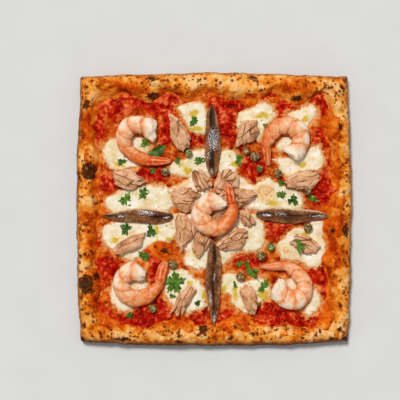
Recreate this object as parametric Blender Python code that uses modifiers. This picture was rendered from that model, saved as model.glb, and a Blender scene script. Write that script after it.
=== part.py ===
# Square seafood pizza: a puffed crust with a sunken well of tomato sauce, melted mozzarella,
# five curled shrimps, four anchovy fillets, flakes of tuna, capers and parsley leaves.
# Metres, +Z up. The origin is in the middle of the flat base, +X to the right, +Y to the rear.

from math import acos, atan2, cos, pi, radians, sin
import random

import bmesh
import bpy
from mathutils import Matrix

MM = 0.001

# Crust
WIDTH, DEPTH = 281.5 * MM, 279.5 * MM  # across the widest places of the rim
SIDE_BOW = 4.2 * MM  # the middle of a side stands this far past its ends
CORNER_RADIUS = 2.5 * MM
WELL_CORNER_RADIUS = 20 * MM
WELL_LEFT, WELL_RIGHT = -112 * MM, 116 * MM  # edges of the flat floor inside the rim
WELL_FRONT, WELL_REAR = -118 * MM, 114 * MM
RIM_HEIGHT = 20.5 * MM
WIDEST_HEIGHT = 8.0 * MM  # the rim overhangs its base, and is widest at this height
WELL_FLOOR = 7.5 * MM
CREST_AT = 0.44  # share of the rim's width, from outside, where it is highest
UNDERCUT = 0.17  # share of the rim's width that its base is set in
SIDE_STEPS, CORNER_STEPS = 28, 6

# Layers in the well
GAP = 0.3 * MM  # between pieces that touch
SAUCE_BASE = WELL_FLOOR + GAP
SAUCE_TOP = 11.0 * MM
SAUCE_DIMPLE = 1.1 * MM
CHEESE_BASE = SAUCE_TOP + GAP
CHEESE_TOP = CHEESE_BASE + 1.2 * MM
TOPPING_BASE = CHEESE_TOP + GAP

# Toppings
SHRIMP_DEEP = 17.0 * MM  # back to belly of the thickest segment
SHRIMP_THICK = 12.5 * MM  # side to side, which stands up when it lies curled
TAIL_WIDE, TAIL_THICK = 9.6 * MM, 4.5 * MM
MIDDLE_SHRIMP_BASE = 17.0 * MM  # it rests on the inner ends of the tuna
ANCHOVY_WIDE, ANCHOVY_THICK = 16.0 * MM, 4.2 * MM
TUNA_HEIGHT = 8.5 * MM
LEAF_THICK = 0.5 * MM
SCRAP_RISE = 0.7 * MM  # of a fused scrap over its layer

# Bubbles in the rim: x, y, radius and height in mm
BUBBLES = (
    (-129, 39, 9, 2.6), (-133, -76, 9, 2.6), (-132, 108, 9, 1.6), (-64, 134, 7, 1.6),
    (-62, 119, 8, 4.0), (86, 116, 10, 4.5), (40, 137, 7, 1.4), (130, 86, 7, 1.6),
    (135, -22, 8, 1.8), (122, -24, 9, 2.0), (131, -126, 8, 1.6), (-35, -137, 7, 1.6),
    (-11, -124, 7, 2.0), (73, -122, 8, 2.4), (24, -120, 12, 3.0), (-51, -125, 7, 1.4),
    (20, 118, 14, 2.4), (-100, -128, 9, 1.8), (100, 128, 10, 1.6), (-122, -20, 9, 1.6),
)

# Puddles of melted cheese, by quarter: x, y, half length and half width in mm, turn in degrees
PUDDLES = {
    "mozzarella_rear_left": (
        (-22, 92, 15, 18, 0), (-33, 68, 8, 15, 0), (-28, 47, 22, 14.5, 0), (-42, 26, 14, 13, 20),
        (-75, 11, 37, 10, 0), (-93, 30, 9, 14, 0), (-96, 58, 19, 16, 0), (-74, 64, 11, 11, 0),
    ),
    "mozzarella_rear_right": (
        (45, 95, 18, 13, 0), (68, 80, 20, 14, 0), (92, 95, 14, 13, 0), (80, 60, 14, 16, 0),
        (104, 56, 10, 13, 0), (85, 45, 14, 8, 0), (82, 33, 10, 13, 0), (67, 15, 28, 14, 0),
        (30, 30, 10, 20, 42), (17, 50, 10, 12, 0),
    ),
    "mozzarella_front_left": (
        (-77, -25, 37, 13, 0), (-85, -45, 11, 10, 0), (-84, -68, 14, 17, 0), (-95, -89, 12, 14, 0),
        (-60, -77, 19, 9, 0), (-31, -80, 22, 17, 0), (-25, -62, 8, 8, 0), (-19, -50, 13, 11, 0),
        (-17, -92, 10, 10, 0),
    ),
    "mozzarella_front_right": (
        (89, -37, 22, 18, 0), (88, -59, 12, 12, 0), (78, -78, 20, 15, 0), (98, -93, 11, 12, 0),
        (37, -82, 26, 19, 0), (13, -64, 9, 13, 0), (13, -47, 9, 9, 0), (28, -38, 14, 9, 0),
        (41, -29, 11, 17, 15),
    ),
}

# Scraps of parsley too small to stand alone, fused to what they lie on: x, y, radius in mm
SCRAPS = {
    "tomato_sauce": ((-61.5, 40, 2.8), (26, -56, 2.2), (-86.5, -108, 2.8)),
    "mozzarella_rear_left": ((-95, 49, 3.4), (-37, 50, 3.0)),
    "mozzarella_rear_right": ((52, 86.5, 2.0), (69, 27, 3.0)),
    "mozzarella_front_left": ((-43, -89, 2.6), (-17, -96, 2.8)),
    "mozzarella_front_right": ((21.5, -77, 2.4), (47, -97, 2.0)),
}

# Curled shrimps: middle of the curl x, y in mm; degrees where the cut head end and the tail
# joint lie round that middle; radius of the curl at both in mm, and how far it swells out
# between them; length of the tail in mm and the degrees it bends away from the curl
SHRIMPS = {
    "shrimp_rear_left": (-75.5, 69.5, 18, 280, 14.0, 19.0, 0.6, 30, 4),
    "shrimp_rear_right": (72.0, 69.5, -90, 184, 12.0, 16.5, 3.6, 28, -2),
    "shrimp_front_left": (-78.0, -76.5, 48, 352, 14.0, 18.0, 1.2, 26, -18),
    "shrimp_front_right": (77.5, -77.5, 163, 452, 11.5, 18.5, 1.6, 32, 2),
    "shrimp_middle": (1.0, -4.5, 60, 368, 13.0, 17.5, 0.8, 30, 6),
}

# Anchovy fillets: inner end x, y and outer end x, y in mm, and the share of the spindle that
# is left where its outer end is cut off
ANCHOVIES = {
    "anchovy_rear": (-1, 33.5, -2, 107, 0.88),
    "anchovy_front": (-0.5, -33, -0.5, -120, 0.98),
    "anchovy_left": (-41.5, -7, -116, -6, 1.0),
    "anchovy_right": (42.5, -5, 119.5, -7, 0.98),
}

# Tuna flakes: x, y, length, width in mm, turn of the grain in degrees, taper of the far end
OUTER_TUNA = (
    (-35, 78.5, 40, 18, 112, -0.05), (35, 80, 36, 17, 52, 0.15), (-88, 30, 36, 18, -12, -0.05),
    (90.5, 31, 35, 17, 22, 0.1), (-88, -36.5, 36, 16, 31, 0.0), (-31, -94, 35, 16, 63, 0.05),
    (35, -93, 33, 17, 118, 0.0), (92.5, -36.5, 34, 17.5, -20, -0.1),
)
MIDDLE_TUNA = (
    (-12.5, 29.5, 25, 15.5, 125, 0.0), (14.5, 29.5, 29, 17, 52, 0.1),
    (-30.5, 10.5, 30, 21, -14, -0.1), (33, 13.5, 21, 16, 12, 0.1),
    (-30, -21, 36, 21, 86, 0.3), (34, -8, 19, 13, -62, 0.0),
    (-13.5, -37, 25, 17, 76, 0.35), (20.5, -31, 29, 19, 30, 0.05),
)

# Capers: x, y and radius in mm
CAPERS = (
    (-50, 38.5, 4.4), (42, 54, 5.0), (65, 37, 4.4), (46.5, 41.5, 3.8), (33, 60, 3.9),
    (95.5, 18.5, 3.8), (96, -18.5, 4.6), (48, -47, 4.8), (58, -38.5, 4.2), (27, -68.5, 4.5),
    (-42.5, -56, 4.6), (-62.5, -101.5, 4.6), (-26, 57.5, 3.9),
)

# Parsley leaves: x, y, length, width in mm, turn in degrees, number of lobes
LEAVES = (
    (-20.5, 90.5, 9, 8, 100, 3), (-57, 60, 13, 7, 35, 5), (-72, 17, 12, 9, 80, 5),
    (-90, 10, 13, 11, 70, 3), (-14.5, 50, 12, 7, 10, 3), (26, 51, 11, 9, 60, 5),
    (69, 15, 9, 8, 50, 3), (81, 9, 11, 10, 80, 3), (101, 11, 11, 6, -25, 3),
    (-90, -19.5, 12, 9, 80, 5), (-64.5, -22, 12, 9, 100, 3), (-71, -47.5, 11, 8, 150, 3),
    (-40.5, -75, 19, 18, 85, 5), (87, -37, 13, 8, 115, 3), (37, -60.5, 22, 10, -58, 5),
    (51, -78, 13, 8, 60, 5),
)
LEAF_ON_TUNA = 13  # this leaf lies on a flake of tuna, the others on the cheese or sauce

# Colour (linear), roughness
FINISHES = {
    "baked_dough": ((0.62, 0.27, 0.07), 0.75),
    "tomato": ((0.50, 0.04, 0.01), 0.35),
    "cheese": ((0.84, 0.72, 0.47), 0.40),
    "shrimp": ((0.86, 0.42, 0.24), 0.35),
    "anchovy": ((0.12, 0.05, 0.03), 0.30),
    "tuna": ((0.58, 0.33, 0.20), 0.60),
    "caper": ((0.16, 0.13, 0.04), 0.40),
    "parsley": ((0.05, 0.16, 0.01), 0.50),
}


def clear_scene():
    for old in list(bpy.data.objects):
        bpy.data.objects.remove(old, do_unlink=True)


def make_finish(name):
    colour, roughness = FINISHES[name]
    finish = bpy.data.materials.new(name)
    finish.use_nodes = True
    shader = finish.node_tree.nodes["Principled BSDF"]
    shader.inputs["Base Color"].default_value = (*colour, 1)
    shader.inputs["Roughness"].default_value = roughness
    finish.diffuse_color = (*colour, 1)
    return finish


def add_part(name, bm, finish, collection=None, smooth_below=40):
    bmesh.ops.recalc_face_normals(bm, faces=bm.faces)
    if bm.calc_volume(signed=True) < 0:
        bmesh.ops.reverse_faces(bm, faces=bm.faces)
    mesh = bpy.data.meshes.new(name)
    bm.to_mesh(mesh)
    bm.free()
    mesh.shade_smooth()
    mesh.set_sharp_from_angle(angle=radians(smooth_below))
    if finish:
        mesh.materials.append(finish)
    part = bpy.data.objects.new(name, mesh)
    if collection:
        collection.objects.link(part)
    return part


def smooth_step(low, high, value):
    share = min(max((value - low) / (high - low), 0), 1)
    return share * share * (3 - 2 * share)


# The rim's outlines

def round_the_square(lap, half_x, half_y, corner, bow):
    """The point of a rounded, bowed square that a lap from 0 to 1 reaches, and its outward angle.
    Each quarter of the lap is nine tenths side and one tenth corner arc."""
    quarter = int(lap * 4) % 4
    share = lap * 4 - int(lap * 4)
    reach, along_half = (half_x, half_y) if quarter % 2 == 0 else (half_y, half_x)
    if share < 0.9:
        t = share / 0.9 * 2 - 1
        across, along, angle = reach + bow * (1 - t * t), t * (along_half - corner), 0
    else:
        angle = (share - 0.9) / 0.1 * pi / 2
        across = reach - corner + corner * cos(angle)
        along = along_half - corner + corner * sin(angle)
    turn = quarter * pi / 2
    x = across * cos(turn) - along * sin(turn)
    y = across * sin(turn) + along * cos(turn)
    return x, y, turn + angle


def wave(lap, *terms):
    """A sum of sines round the lap, each term its count of swells, size and phase."""
    return sum(size * sin(2 * pi * count * lap + phase) for count, size, phase in terms)


def outer_point(lap):
    half_x, half_y = WIDTH / 2 - SIDE_BOW, DEPTH / 2 - SIDE_BOW
    x, y, angle = round_the_square(lap, half_x, half_y, CORNER_RADIUS, SIDE_BOW)
    out = wave(lap, (9, 0.35 * MM, 0.4), (16, 0.3 * MM, 2.1), (31, 0.25 * MM, 4.0))
    return x + out * cos(angle), y + out * sin(angle)


def well_point(lap):
    half_x, half_y = (WELL_RIGHT - WELL_LEFT) / 2, (WELL_REAR - WELL_FRONT) / 2
    x, y, angle = round_the_square(lap, half_x, half_y, WELL_CORNER_RADIUS, 0)
    out = wave(lap, (6, 1.0 * MM, 1.0), (11, 0.9 * MM, 5.0), (19, 0.8 * MM, 2.6))
    x += (WELL_RIGHT + WELL_LEFT) / 2 + out * cos(angle)
    y += (WELL_REAR + WELL_FRONT) / 2 + out * sin(angle)
    return x, y


def crest_height(lap):
    return RIM_HEIGHT + wave(lap, (5, 0.8 * MM, 0.3), (9, 0.7 * MM, 4.4), (17, 0.6 * MM, 1.2))


def across_rim(lap, share):
    """A point of the rim, share 0 at the widest outline and 1 at the well's edge."""
    x0, y0 = outer_point(lap)
    x1, y1 = well_point(lap)
    return x0 + (x1 - x0) * share, y0 + (y1 - y0) * share


def inner_slope_share(lap, height):
    """Where across the rim its inner slope comes down to a height."""
    crest = crest_height(lap)
    fall = (crest - height) / (crest - WELL_FLOOR)
    return CREST_AT + (1 - CREST_AT) * acos(1 - 2 * fall) / pi


def bubble_rise(x, y):
    rise = 0
    for bubble_x, bubble_y, radius, height in BUBBLES:
        apart = ((x - bubble_x * MM) ** 2 + (y - bubble_y * MM) ** 2) / (radius * MM) ** 2
        if apart < 1:
            rise += height * MM * (1 - apart) ** 2
    return rise


def laps(side_steps, corner_steps):
    """Where round the lap the grid's columns stand: even along each side and each corner arc."""
    places = []
    for quarter in range(4):
        places += [(quarter + 0.9 * step / side_steps) / 4 for step in range(side_steps)]
        places += [(quarter + 0.9 + 0.1 * step / corner_steps) / 4 for step in range(corner_steps)]
    return places


def lofted(rings):
    """A closed skin through rings of equally many points: a grid bent round, its seam merged and
    both ends filled."""
    columns, rows = len(rings[0]), len(rings)
    bm = bmesh.new()
    bmesh.ops.create_grid(bm, x_segments=columns, y_segments=rows - 1, size=1)
    for vertex in bm.verts:
        column = round((vertex.co.x + 1) / 2 * columns) % columns
        row = round((vertex.co.y + 1) / 2 * (rows - 1))
        vertex.co = rings[row][column]
    bmesh.ops.remove_doubles(bm, verts=bm.verts, dist=0.001 * MM)
    bmesh.ops.holes_fill(bm, edges=[edge for edge in bm.edges if edge.is_boundary], sides=0)
    return bm


# Crust and layers

def rim_profile():
    """Shares of the rim's width and heights as shares, from the base edge over the crest to the
    well: a round outer side and an inner slope that eases out at both ends."""
    under, over, slope = 2, 4, 6
    for step in range(under):
        angle = -pi / 2 + pi / 2 * step / under
        yield UNDERCUT * (1 - cos(angle)), "under", 1 + sin(angle)
    for step in range(over):
        angle = pi / 2 * step / over
        yield CREST_AT * (1 - cos(angle)), "over", sin(angle)
    for step in range(slope + 1):
        share = step / slope
        yield CREST_AT + (1 - CREST_AT) * share, "slope", 0.5 + 0.5 * cos(pi * share)


def crust_point(lap, share, part, height_share):
    x, y = across_rim(lap, share)
    crest = crest_height(lap)
    if part == "under":
        return x, y, WIDEST_HEIGHT * height_share
    floor = WIDEST_HEIGHT if part == "over" else WELL_FLOOR
    puffed = smooth_step(0.92, 0.7, share) if part == "slope" else height_share
    return x, y, floor + (crest - floor) * height_share + bubble_rise(x, y) * puffed


def make_crust(collection):
    places = laps(SIDE_STEPS, CORNER_STEPS)
    rings = [[crust_point(lap, *station) for lap in places] for station in rim_profile()]
    bm = lofted(rings)
    low = [min(v.co[axis] for v in bm.verts) for axis in (0, 1)]
    high = [max(v.co[axis] for v in bm.verts) for axis in (0, 1)]
    # The waves are evened out so that the box has the named sizes and stands on the origin.
    for vertex in bm.verts:
        for axis, size in enumerate((WIDTH, DEPTH)):
            middle, span = (low[axis] + high[axis]) / 2, high[axis] - low[axis]
            vertex.co[axis] = (vertex.co[axis] - middle) * size / span
    return add_part("crust", bm, make_finish("baked_dough"), collection, smooth_below=70)


def sauce_dip(x, y):
    """Dimples between the lumps of crushed tomato, 0 to 1."""
    lumps = sin(x / (6.1 * MM)) * sin(y / (5.3 * MM)) + 0.6 * sin(x / (2.9 * MM) + y / (3.7 * MM))
    return 0.5 + lumps / 3.2


def make_sauce(collection):
    places = laps(SIDE_STEPS // 2, CORNER_STEPS // 2)
    middle_x, middle_y = (WELL_LEFT + WELL_RIGHT) / 2, (WELL_FRONT + WELL_REAR) / 2
    skirt = [across_rim(lap, 1.02) for lap in places]
    edge = [across_rim(lap, inner_slope_share(lap, 9.6 * MM) + 0.06) for lap in places]
    rings = [[(x, y, SAUCE_BASE) for x, y in skirt], [(x, y, 9.9 * MM) for x, y in edge]]
    for share in (0.97, 0.82, 0.64, 0.45, 0.2):
        ring = []
        for lap in places:
            x, y = well_point(lap)
            x, y = middle_x + (x - middle_x) * share, middle_y + (y - middle_y) * share
            ring.append((x, y, SAUCE_TOP - SAUCE_DIMPLE * sauce_dip(x, y)))
        rings.append(ring)
    sauce = add_part("tomato_sauce", lofted(rings), make_finish("tomato"), collection, 60)
    fuse(sauce, make_scraps("tomato_sauce", SAUCE_TOP, 1.4 * MM))
    return sauce


def fuse(part, pieces):
    """One Boolean union runs a part and a collection of pieces together; the pieces then go."""
    collection = bpy.data.collections.new(f"{part.name}_pieces")
    bpy.context.scene.collection.children.link(collection)
    for piece in pieces:
        collection.objects.link(piece)
    union = part.modifiers.new("run together", "BOOLEAN")
    union.operation = "UNION"
    union.solver = "EXACT"
    union.operand_type = "COLLECTION"
    union.collection = collection
    with bpy.context.temp_override(object=part):
        bpy.ops.object.modifier_apply(modifier=union.name)
    for piece in pieces:
        bpy.data.objects.remove(piece, do_unlink=True)
    bpy.data.collections.remove(collection)


def make_disc(name, spec, base, top, collection=None, edge_slope=1.0, sides=12):
    """A low disc with a wavy outline, its upper edge drawn in by edge_slope, in mm."""
    x, y, half_long, half_wide, turn = spec
    seed = len(name) + x
    bm = bmesh.new()
    bmesh.ops.create_cone(bm, cap_ends=True, segments=sides, radius1=1, radius2=1, depth=2)
    place = Matrix.Translation((x * MM, y * MM, 0)) @ Matrix.Rotation(radians(turn), 4, "Z")
    for vertex in bm.verts:
        ripple = 1 + 0.05 * sin(3 * seed + 3 * vertex.co.x) + 0.06 * sin(5 * vertex.co.y + seed)
        inset, height = (edge_slope, top) if vertex.co.z > 0 else (0, base)
        long = vertex.co.x * (half_long - inset) * ripple * MM
        wide = vertex.co.y * (half_wide - inset) * ripple * MM
        vertex.co = place @ Matrix.Translation((long, wide, height)).translation
    return add_part(name, bm, None, collection)


def make_scraps(owner, layer_top, depth):
    return [
        make_disc(
            f"{owner}_scrap_{number}", (x, y, radius, radius * 0.8, 40 * number),
            layer_top - depth, layer_top + SCRAP_RISE, edge_slope=0.5, sides=5,
        )
        for number, (x, y, radius) in enumerate(SCRAPS[owner], 1)
    ]


def make_cheese(name, puddles, finish, collection):
    """Puddles that have run together: one low disc for each, joined."""
    discs = [
        make_disc(
            f"{name}_disc_{number}" if number else name, spec, CHEESE_BASE, CHEESE_TOP,
            None if number else collection, sides=16 if spec[2] > 15 else 12,
        )
        for number, spec in enumerate(puddles)
    ]
    cheese = discs[0]
    fuse(cheese, discs[1:] + make_scraps(name, CHEESE_TOP, 0.6 * MM))
    cheese.data.materials.clear()
    cheese.data.materials.append(finish)
    flat = cheese.modifiers.new("merge flat faces", "DECIMATE")
    flat.decimate_type = "DISSOLVE"
    flat.angle_limit = radians(3)
    return cheese


# Toppings

def make_shrimp(name, spec, finish, collection, base):
    """A sphere drawn out along a spiral curl and on into a straight tail. Its rings of latitude
    become sections of the body, which swell over each of six segments."""
    x, y, head_angle, joint_angle, head_radius, joint_radius, swell_out, tail, bend = spec
    bm = bmesh.new()
    stations, body_share = 21, 0.74
    bmesh.ops.create_uvsphere(bm, u_segments=10, v_segments=stations, radius=1)
    joint = radians(joint_angle)
    joint_x, joint_y = x * MM + joint_radius * MM * cos(joint), y * MM + joint_radius * MM * sin(joint)
    swell = 0.05  # of each segment over its joints
    raised = base > TOPPING_BASE
    for vertex in bm.verts:
        station = acos(max(-1, min(1, vertex.co.z))) / pi
        round_x, round_y = vertex.co.x, vertex.co.y
        length = max((round_x ** 2 + round_y ** 2) ** 0.5, 1e-6)
        side, up = (round_x / length, round_y / length) if length > 1e-5 else (0, 0)
        if station < body_share:
            share = station / body_share
            angle = radians(head_angle + (joint_angle - head_angle) * share)
            radius = head_radius + (joint_radius - head_radius) * share + swell_out * sin(pi * share)
            radius *= MM
            middle_x, middle_y = x * MM + radius * cos(angle), y * MM + radius * sin(angle)
            normal = angle
            blunt = min(1, (share / 0.05) ** 0.5) if share > 0 else 0
            segment = 1 - swell + swell * cos(2 * pi * 6 * share)
            slim = 1 - 0.38 * smooth_step(0.5, 1.0, share)
            half_deep = SHRIMP_DEEP / 2 * blunt * segment * slim
            half_thick = SHRIMP_THICK / 2 * blunt * segment * (1 - 0.45 * smooth_step(0.5, 1.0, share))
        else:
            share = (station - body_share) / (1 - body_share)
            normal = joint + radians(bend) * share
            heading = joint + pi / 2 + radians(bend) * share / 2
            middle_x = joint_x + tail * MM * share * cos(heading)
            middle_y = joint_y + tail * MM * share * sin(heading)
            flare = 1 + 0.12 * sin(pi * share)
            blunt = 1 if share < 0.8 else (1 - ((share - 0.8) / 0.2) ** 2) ** 0.5
            half_deep = TAIL_WIDE / 2 * flare * blunt
            half_thick = (SHRIMP_THICK * 0.55 + (TAIL_THICK - SHRIMP_THICK * 0.55) * share) / 2 * blunt
        lift = SHRIMP_THICK / 2 if station < body_share else SHRIMP_THICK / 2 * (1 - 0.35 * share)
        if raised and station > body_share:
            lift = SHRIMP_THICK / 2 + 2.5 * MM * share
        vertex.co = (
            middle_x + side * half_deep * cos(normal),
            middle_y + side * half_deep * sin(normal),
            base + lift + up * half_thick,
        )
    return add_part(name, bm, finish, collection, 60)


def make_anchovy(name, spec, finish, collection):
    """A sphere drawn into a long flat spindle, widest past its inner third, with a groove along
    its back and a slight sway."""
    x0, y0, x1, y1 = (value * MM for value in spec[:4])
    cut = spec[4]
    length = ((x1 - x0) ** 2 + (y1 - y0) ** 2) ** 0.5
    along_x, along_y = (x1 - x0) / length, (y1 - y0) / length
    bm = bmesh.new()
    bmesh.ops.create_uvsphere(bm, u_segments=10, v_segments=10, radius=1)
    for vertex in bm.verts:
        share = acos(max(-1, min(1, vertex.co.z))) / pi
        ring = max((vertex.co.x ** 2 + vertex.co.y ** 2) ** 0.5, 1e-6)
        side, up = (vertex.co.x / ring, vertex.co.y / ring) if 0 < share < 1 else (0, 0)
        width = ANCHOVY_WIDE / 2 * sin(pi * (share * cut) ** 0.7) ** 0.7
        width *= min(1, (8 * (1 - share)) ** 0.5)
        groove = 0.3 if up > 0.9 else 0
        thick = ANCHOVY_THICK / 2 * min(1, 4 * share, 4 * (1 - share)) * (1 - groove)
        sway = 0.6 * MM * sin(3 * pi * share)
        across = side * width + sway
        vertex.co = (
            x0 + along_x * length * share - along_y * across,
            y0 + along_y * length * share + along_x * across,
            TOPPING_BASE + ANCHOVY_THICK / 2 + up * thick,
        )
    return add_part(name, bm, finish, collection, 50)


def make_tuna(name, spec, height, finish, collection, seed, low_near=None):
    """A flake of cooked fish: a cut-up block whose strands along the grain end unevenly and stand
    at unlike heights. Near low_near, a point with a radius, it stays under the middle shrimp."""
    x, y, length, width, turn, taper = spec
    strand = random.Random(seed)
    bm = bmesh.new()
    bmesh.ops.create_cube(bm, size=2)
    bmesh.ops.subdivide_edges(bm, edges=bm.edges[:], cuts=3, use_grid_fill=True)
    near_end = [strand.uniform(0.82, 1.0) for _ in range(5)]
    far_end = [strand.uniform(0.82, 1.0) for _ in range(5)]
    rise = [strand.uniform(-0.12, 0.12) for _ in range(5)]
    bulge = [strand.uniform(-0.1, 0.1) for _ in range(5)]
    place = Matrix.Translation((x * MM, y * MM, 0)) @ Matrix.Rotation(radians(turn), 4, "Z")
    for vertex in bm.verts:
        along, across, up = vertex.co
        row, column = round((across + 1) * 2), round((along + 1) * 2)
        end = near_end[row] if along < 0 else far_end[row]
        level = (up + 1) / 2
        reach = along * length / 2 * (end if abs(along) > 0.9 else 1) * (1 - 0.1 * across ** 2)
        reach *= 1 - 0.08 * level
        wide = across * width / 2 * (1 - 0.22 * along ** 2 + taper * along) * (1 - 0.14 * level)
        tall = 1 - 0.3 * along ** 4 - 0.28 * across ** 4 + rise[row] + bulge[column]
        place_xy = place @ Matrix.Translation((reach * MM, wide * MM, 0)).translation
        top = TOPPING_BASE + height * level * tall
        if low_near:
            near_x, near_y, radius, ceiling = low_near
            apart = ((place_xy.x - near_x) ** 2 + (place_xy.y - near_y) ** 2) ** 0.5
            if apart < radius:
                top = min(top, TOPPING_BASE + (ceiling - TOPPING_BASE) * level)
        vertex.co = (place_xy.x, place_xy.y, top)
    underside = [face for face in bm.faces if max(v.co.z for v in face.verts) < TOPPING_BASE + 0.01 * MM]
    bmesh.ops.dissolve_faces(bm, faces=underside)
    return add_part(name, bm, finish, collection, 35)


def base_for(x, y, reach):
    """Height that a small topping rests at: on the cheese where it reaches any, else on the sauce."""
    for puddle_x, puddle_y, half_long, half_wide, turn in sum(PUDDLES.values(), ()):
        angle = radians(turn)
        off_x, off_y = x - puddle_x, y - puddle_y
        along = off_x * cos(angle) + off_y * sin(angle)
        across = off_y * cos(angle) - off_x * sin(angle)
        if (along / (half_long + reach)) ** 2 + (across / (half_wide + reach)) ** 2 < 1:
            return TOPPING_BASE
    return SAUCE_TOP + GAP


def make_caper(name, spec, finish, collection):
    """A bud: a ball slightly longer than wide, lying over, with a blunt point."""
    x, y, radius = (value * MM for value in spec)
    base = base_for(*spec)
    bm = bmesh.new()
    bmesh.ops.create_uvsphere(bm, u_segments=8, v_segments=5, radius=1)
    tilt = Matrix.Rotation(radians(50), 3, "X")
    spin = Matrix.Rotation(x / MM, 3, "Z")
    for vertex in bm.verts:
        vertex.co.z *= 1.12 if vertex.co.z > 0 else 0.95
        vertex.co = spin @ tilt @ vertex.co * radius
    low = min(vertex.co.z for vertex in bm.verts)
    bmesh.ops.translate(bm, verts=bm.verts, vec=(x, y, base - low))
    return add_part(name, bm, finish, collection, 60)


def make_leaf(name, spec, base, finish, collection):
    """A lobed leaf: a fan of triangles whose edge swings in and out, waved, and given a wall."""
    x, y, length, width, turn, lobes = spec
    bm = bmesh.new()
    bmesh.ops.create_circle(bm, cap_ends=True, cap_tris=True, segments=4 * lobes, radius=1)
    place = Matrix.Translation((x * MM, y * MM, 0)) @ Matrix.Rotation(radians(turn), 4, "Z")
    for vertex in bm.verts:
        step = round(atan2(vertex.co.y, vertex.co.x) / (2 * pi) * 4 * lobes)
        reach = (1.0, 0.8, 0.5, 0.8)[step % 4]
        long, wide = vertex.co.x * reach * length / 2 * MM, vertex.co.y * reach * width / 2 * MM
        curl = 0.9 * MM * (long * long + wide * wide) / (length / 2 * MM) ** 2
        ripple = 0.35 * MM * sin(1.7 * step)
        vertex.co = place @ Matrix.Translation((long, wide, curl + ripple)).translation
    low = min(vertex.co.z for vertex in bm.verts)
    bmesh.ops.translate(bm, verts=bm.verts, vec=(0, 0, base + LEAF_THICK - low))
    leaf = add_part(name, bm, finish, collection, 50)
    wall = leaf.modifiers.new("wall", "SOLIDIFY")
    wall.thickness = LEAF_THICK
    wall.offset = 0
    return leaf


def build_pizza():
    clear_scene()
    pizza = bpy.data.collections.new("seafood_pizza")
    bpy.context.scene.collection.children.link(pizza)

    make_crust(pizza)
    make_sauce(pizza)
    cheese = make_finish("cheese")
    for name, puddles in PUDDLES.items():
        make_cheese(name, puddles, cheese, pizza)

    shrimp = make_finish("shrimp")
    for name, spec in SHRIMPS.items():
        base = MIDDLE_SHRIMP_BASE if name == "shrimp_middle" else TOPPING_BASE
        make_shrimp(name, spec, shrimp, pizza, base)
    anchovy = make_finish("anchovy")
    for name, spec in ANCHOVIES.items():
        make_anchovy(name, spec, anchovy, pizza)

    tuna = make_finish("tuna")
    for number, spec in enumerate(OUTER_TUNA, 1):
        make_tuna(f"tuna_outer_{number}", spec, TUNA_HEIGHT, tuna, pizza, number)
    middle_x, middle_y = (value * MM for value in SHRIMPS["shrimp_middle"][:2])
    under_shrimp = (middle_x, middle_y, 27 * MM, MIDDLE_SHRIMP_BASE - GAP)
    for number, spec in enumerate(MIDDLE_TUNA, 1):
        make_tuna(f"tuna_middle_{number}", spec, TUNA_HEIGHT, tuna, pizza, 20 + number, under_shrimp)

    caper = make_finish("caper")
    for number, spec in enumerate(CAPERS, 1):
        make_caper(f"caper_{number}", spec, caper, pizza)
    parsley = make_finish("parsley")
    for number, spec in enumerate(LEAVES, 1):
        base = base_for(spec[0], spec[1], spec[2] / 2)
        if number - 1 == LEAF_ON_TUNA:
            base = TOPPING_BASE + TUNA_HEIGHT * 1.02
        make_leaf(f"parsley_{number}", spec, base, parsley, pizza)


build_pizza()
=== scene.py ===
# Looks of the square seafood pizza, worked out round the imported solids.

from functools import partial

import bpy
import numpy as np
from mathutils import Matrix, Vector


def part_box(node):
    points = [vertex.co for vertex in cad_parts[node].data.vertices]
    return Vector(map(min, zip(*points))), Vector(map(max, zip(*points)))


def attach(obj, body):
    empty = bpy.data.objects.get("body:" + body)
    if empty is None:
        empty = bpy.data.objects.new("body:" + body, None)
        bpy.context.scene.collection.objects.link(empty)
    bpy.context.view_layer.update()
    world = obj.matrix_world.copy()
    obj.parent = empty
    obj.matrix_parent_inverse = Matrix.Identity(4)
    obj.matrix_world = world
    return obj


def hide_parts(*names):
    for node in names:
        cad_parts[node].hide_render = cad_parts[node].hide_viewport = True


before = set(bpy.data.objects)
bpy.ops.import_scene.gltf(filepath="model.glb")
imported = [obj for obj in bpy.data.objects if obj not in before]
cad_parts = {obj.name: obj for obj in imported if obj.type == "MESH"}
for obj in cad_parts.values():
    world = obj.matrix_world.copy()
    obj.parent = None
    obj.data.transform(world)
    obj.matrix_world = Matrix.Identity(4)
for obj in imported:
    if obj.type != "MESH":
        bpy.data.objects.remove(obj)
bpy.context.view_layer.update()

mm = 0.001
pi = np.pi
scene = bpy.context.scene
scene.view_settings.view_transform = "Standard"


# Nodes and materials

def toLinear(hexColour):
    # An sRGB hex value as linear red, green and blue, with full alpha.
    channels = [int(hexColour[start:start + 2], 16) / 255 for start in (1, 3, 5)]
    linear = [c / 12.92 if c <= 0.04045 else ((c + 0.055) / 1.055) ** 2.4 for c in channels]
    return (*linear, 1)


def addNode(tree, kind, inputs=(), output=0, stops=(), **settings):
    # Adds a shader node with its settings. An input is a socket to link from, a hex colour or a
    # number; stops, each a position and a hex colour, fill a colour ramp.
    node = tree.nodes.new("ShaderNode" + kind)
    for name, value in settings.items():
        setattr(node, name, value)
    for name, value in dict(inputs).items():
        if isinstance(value, bpy.types.NodeSocket):
            tree.links.new(value, node.inputs[name])
        else:
            node.inputs[name].default_value = toLinear(value) if isinstance(value, str) else value
    if stops:
        elements = node.color_ramp.elements
        elements.remove(elements[1])
        elements[0].position = stops[0][0]
        for position, _ in stops[1:]:
            elements.new(position)
        for element, (_, colour) in zip(elements, stops):
            element.color = toLinear(colour)
    return node.outputs[output] if node.outputs else None


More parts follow.
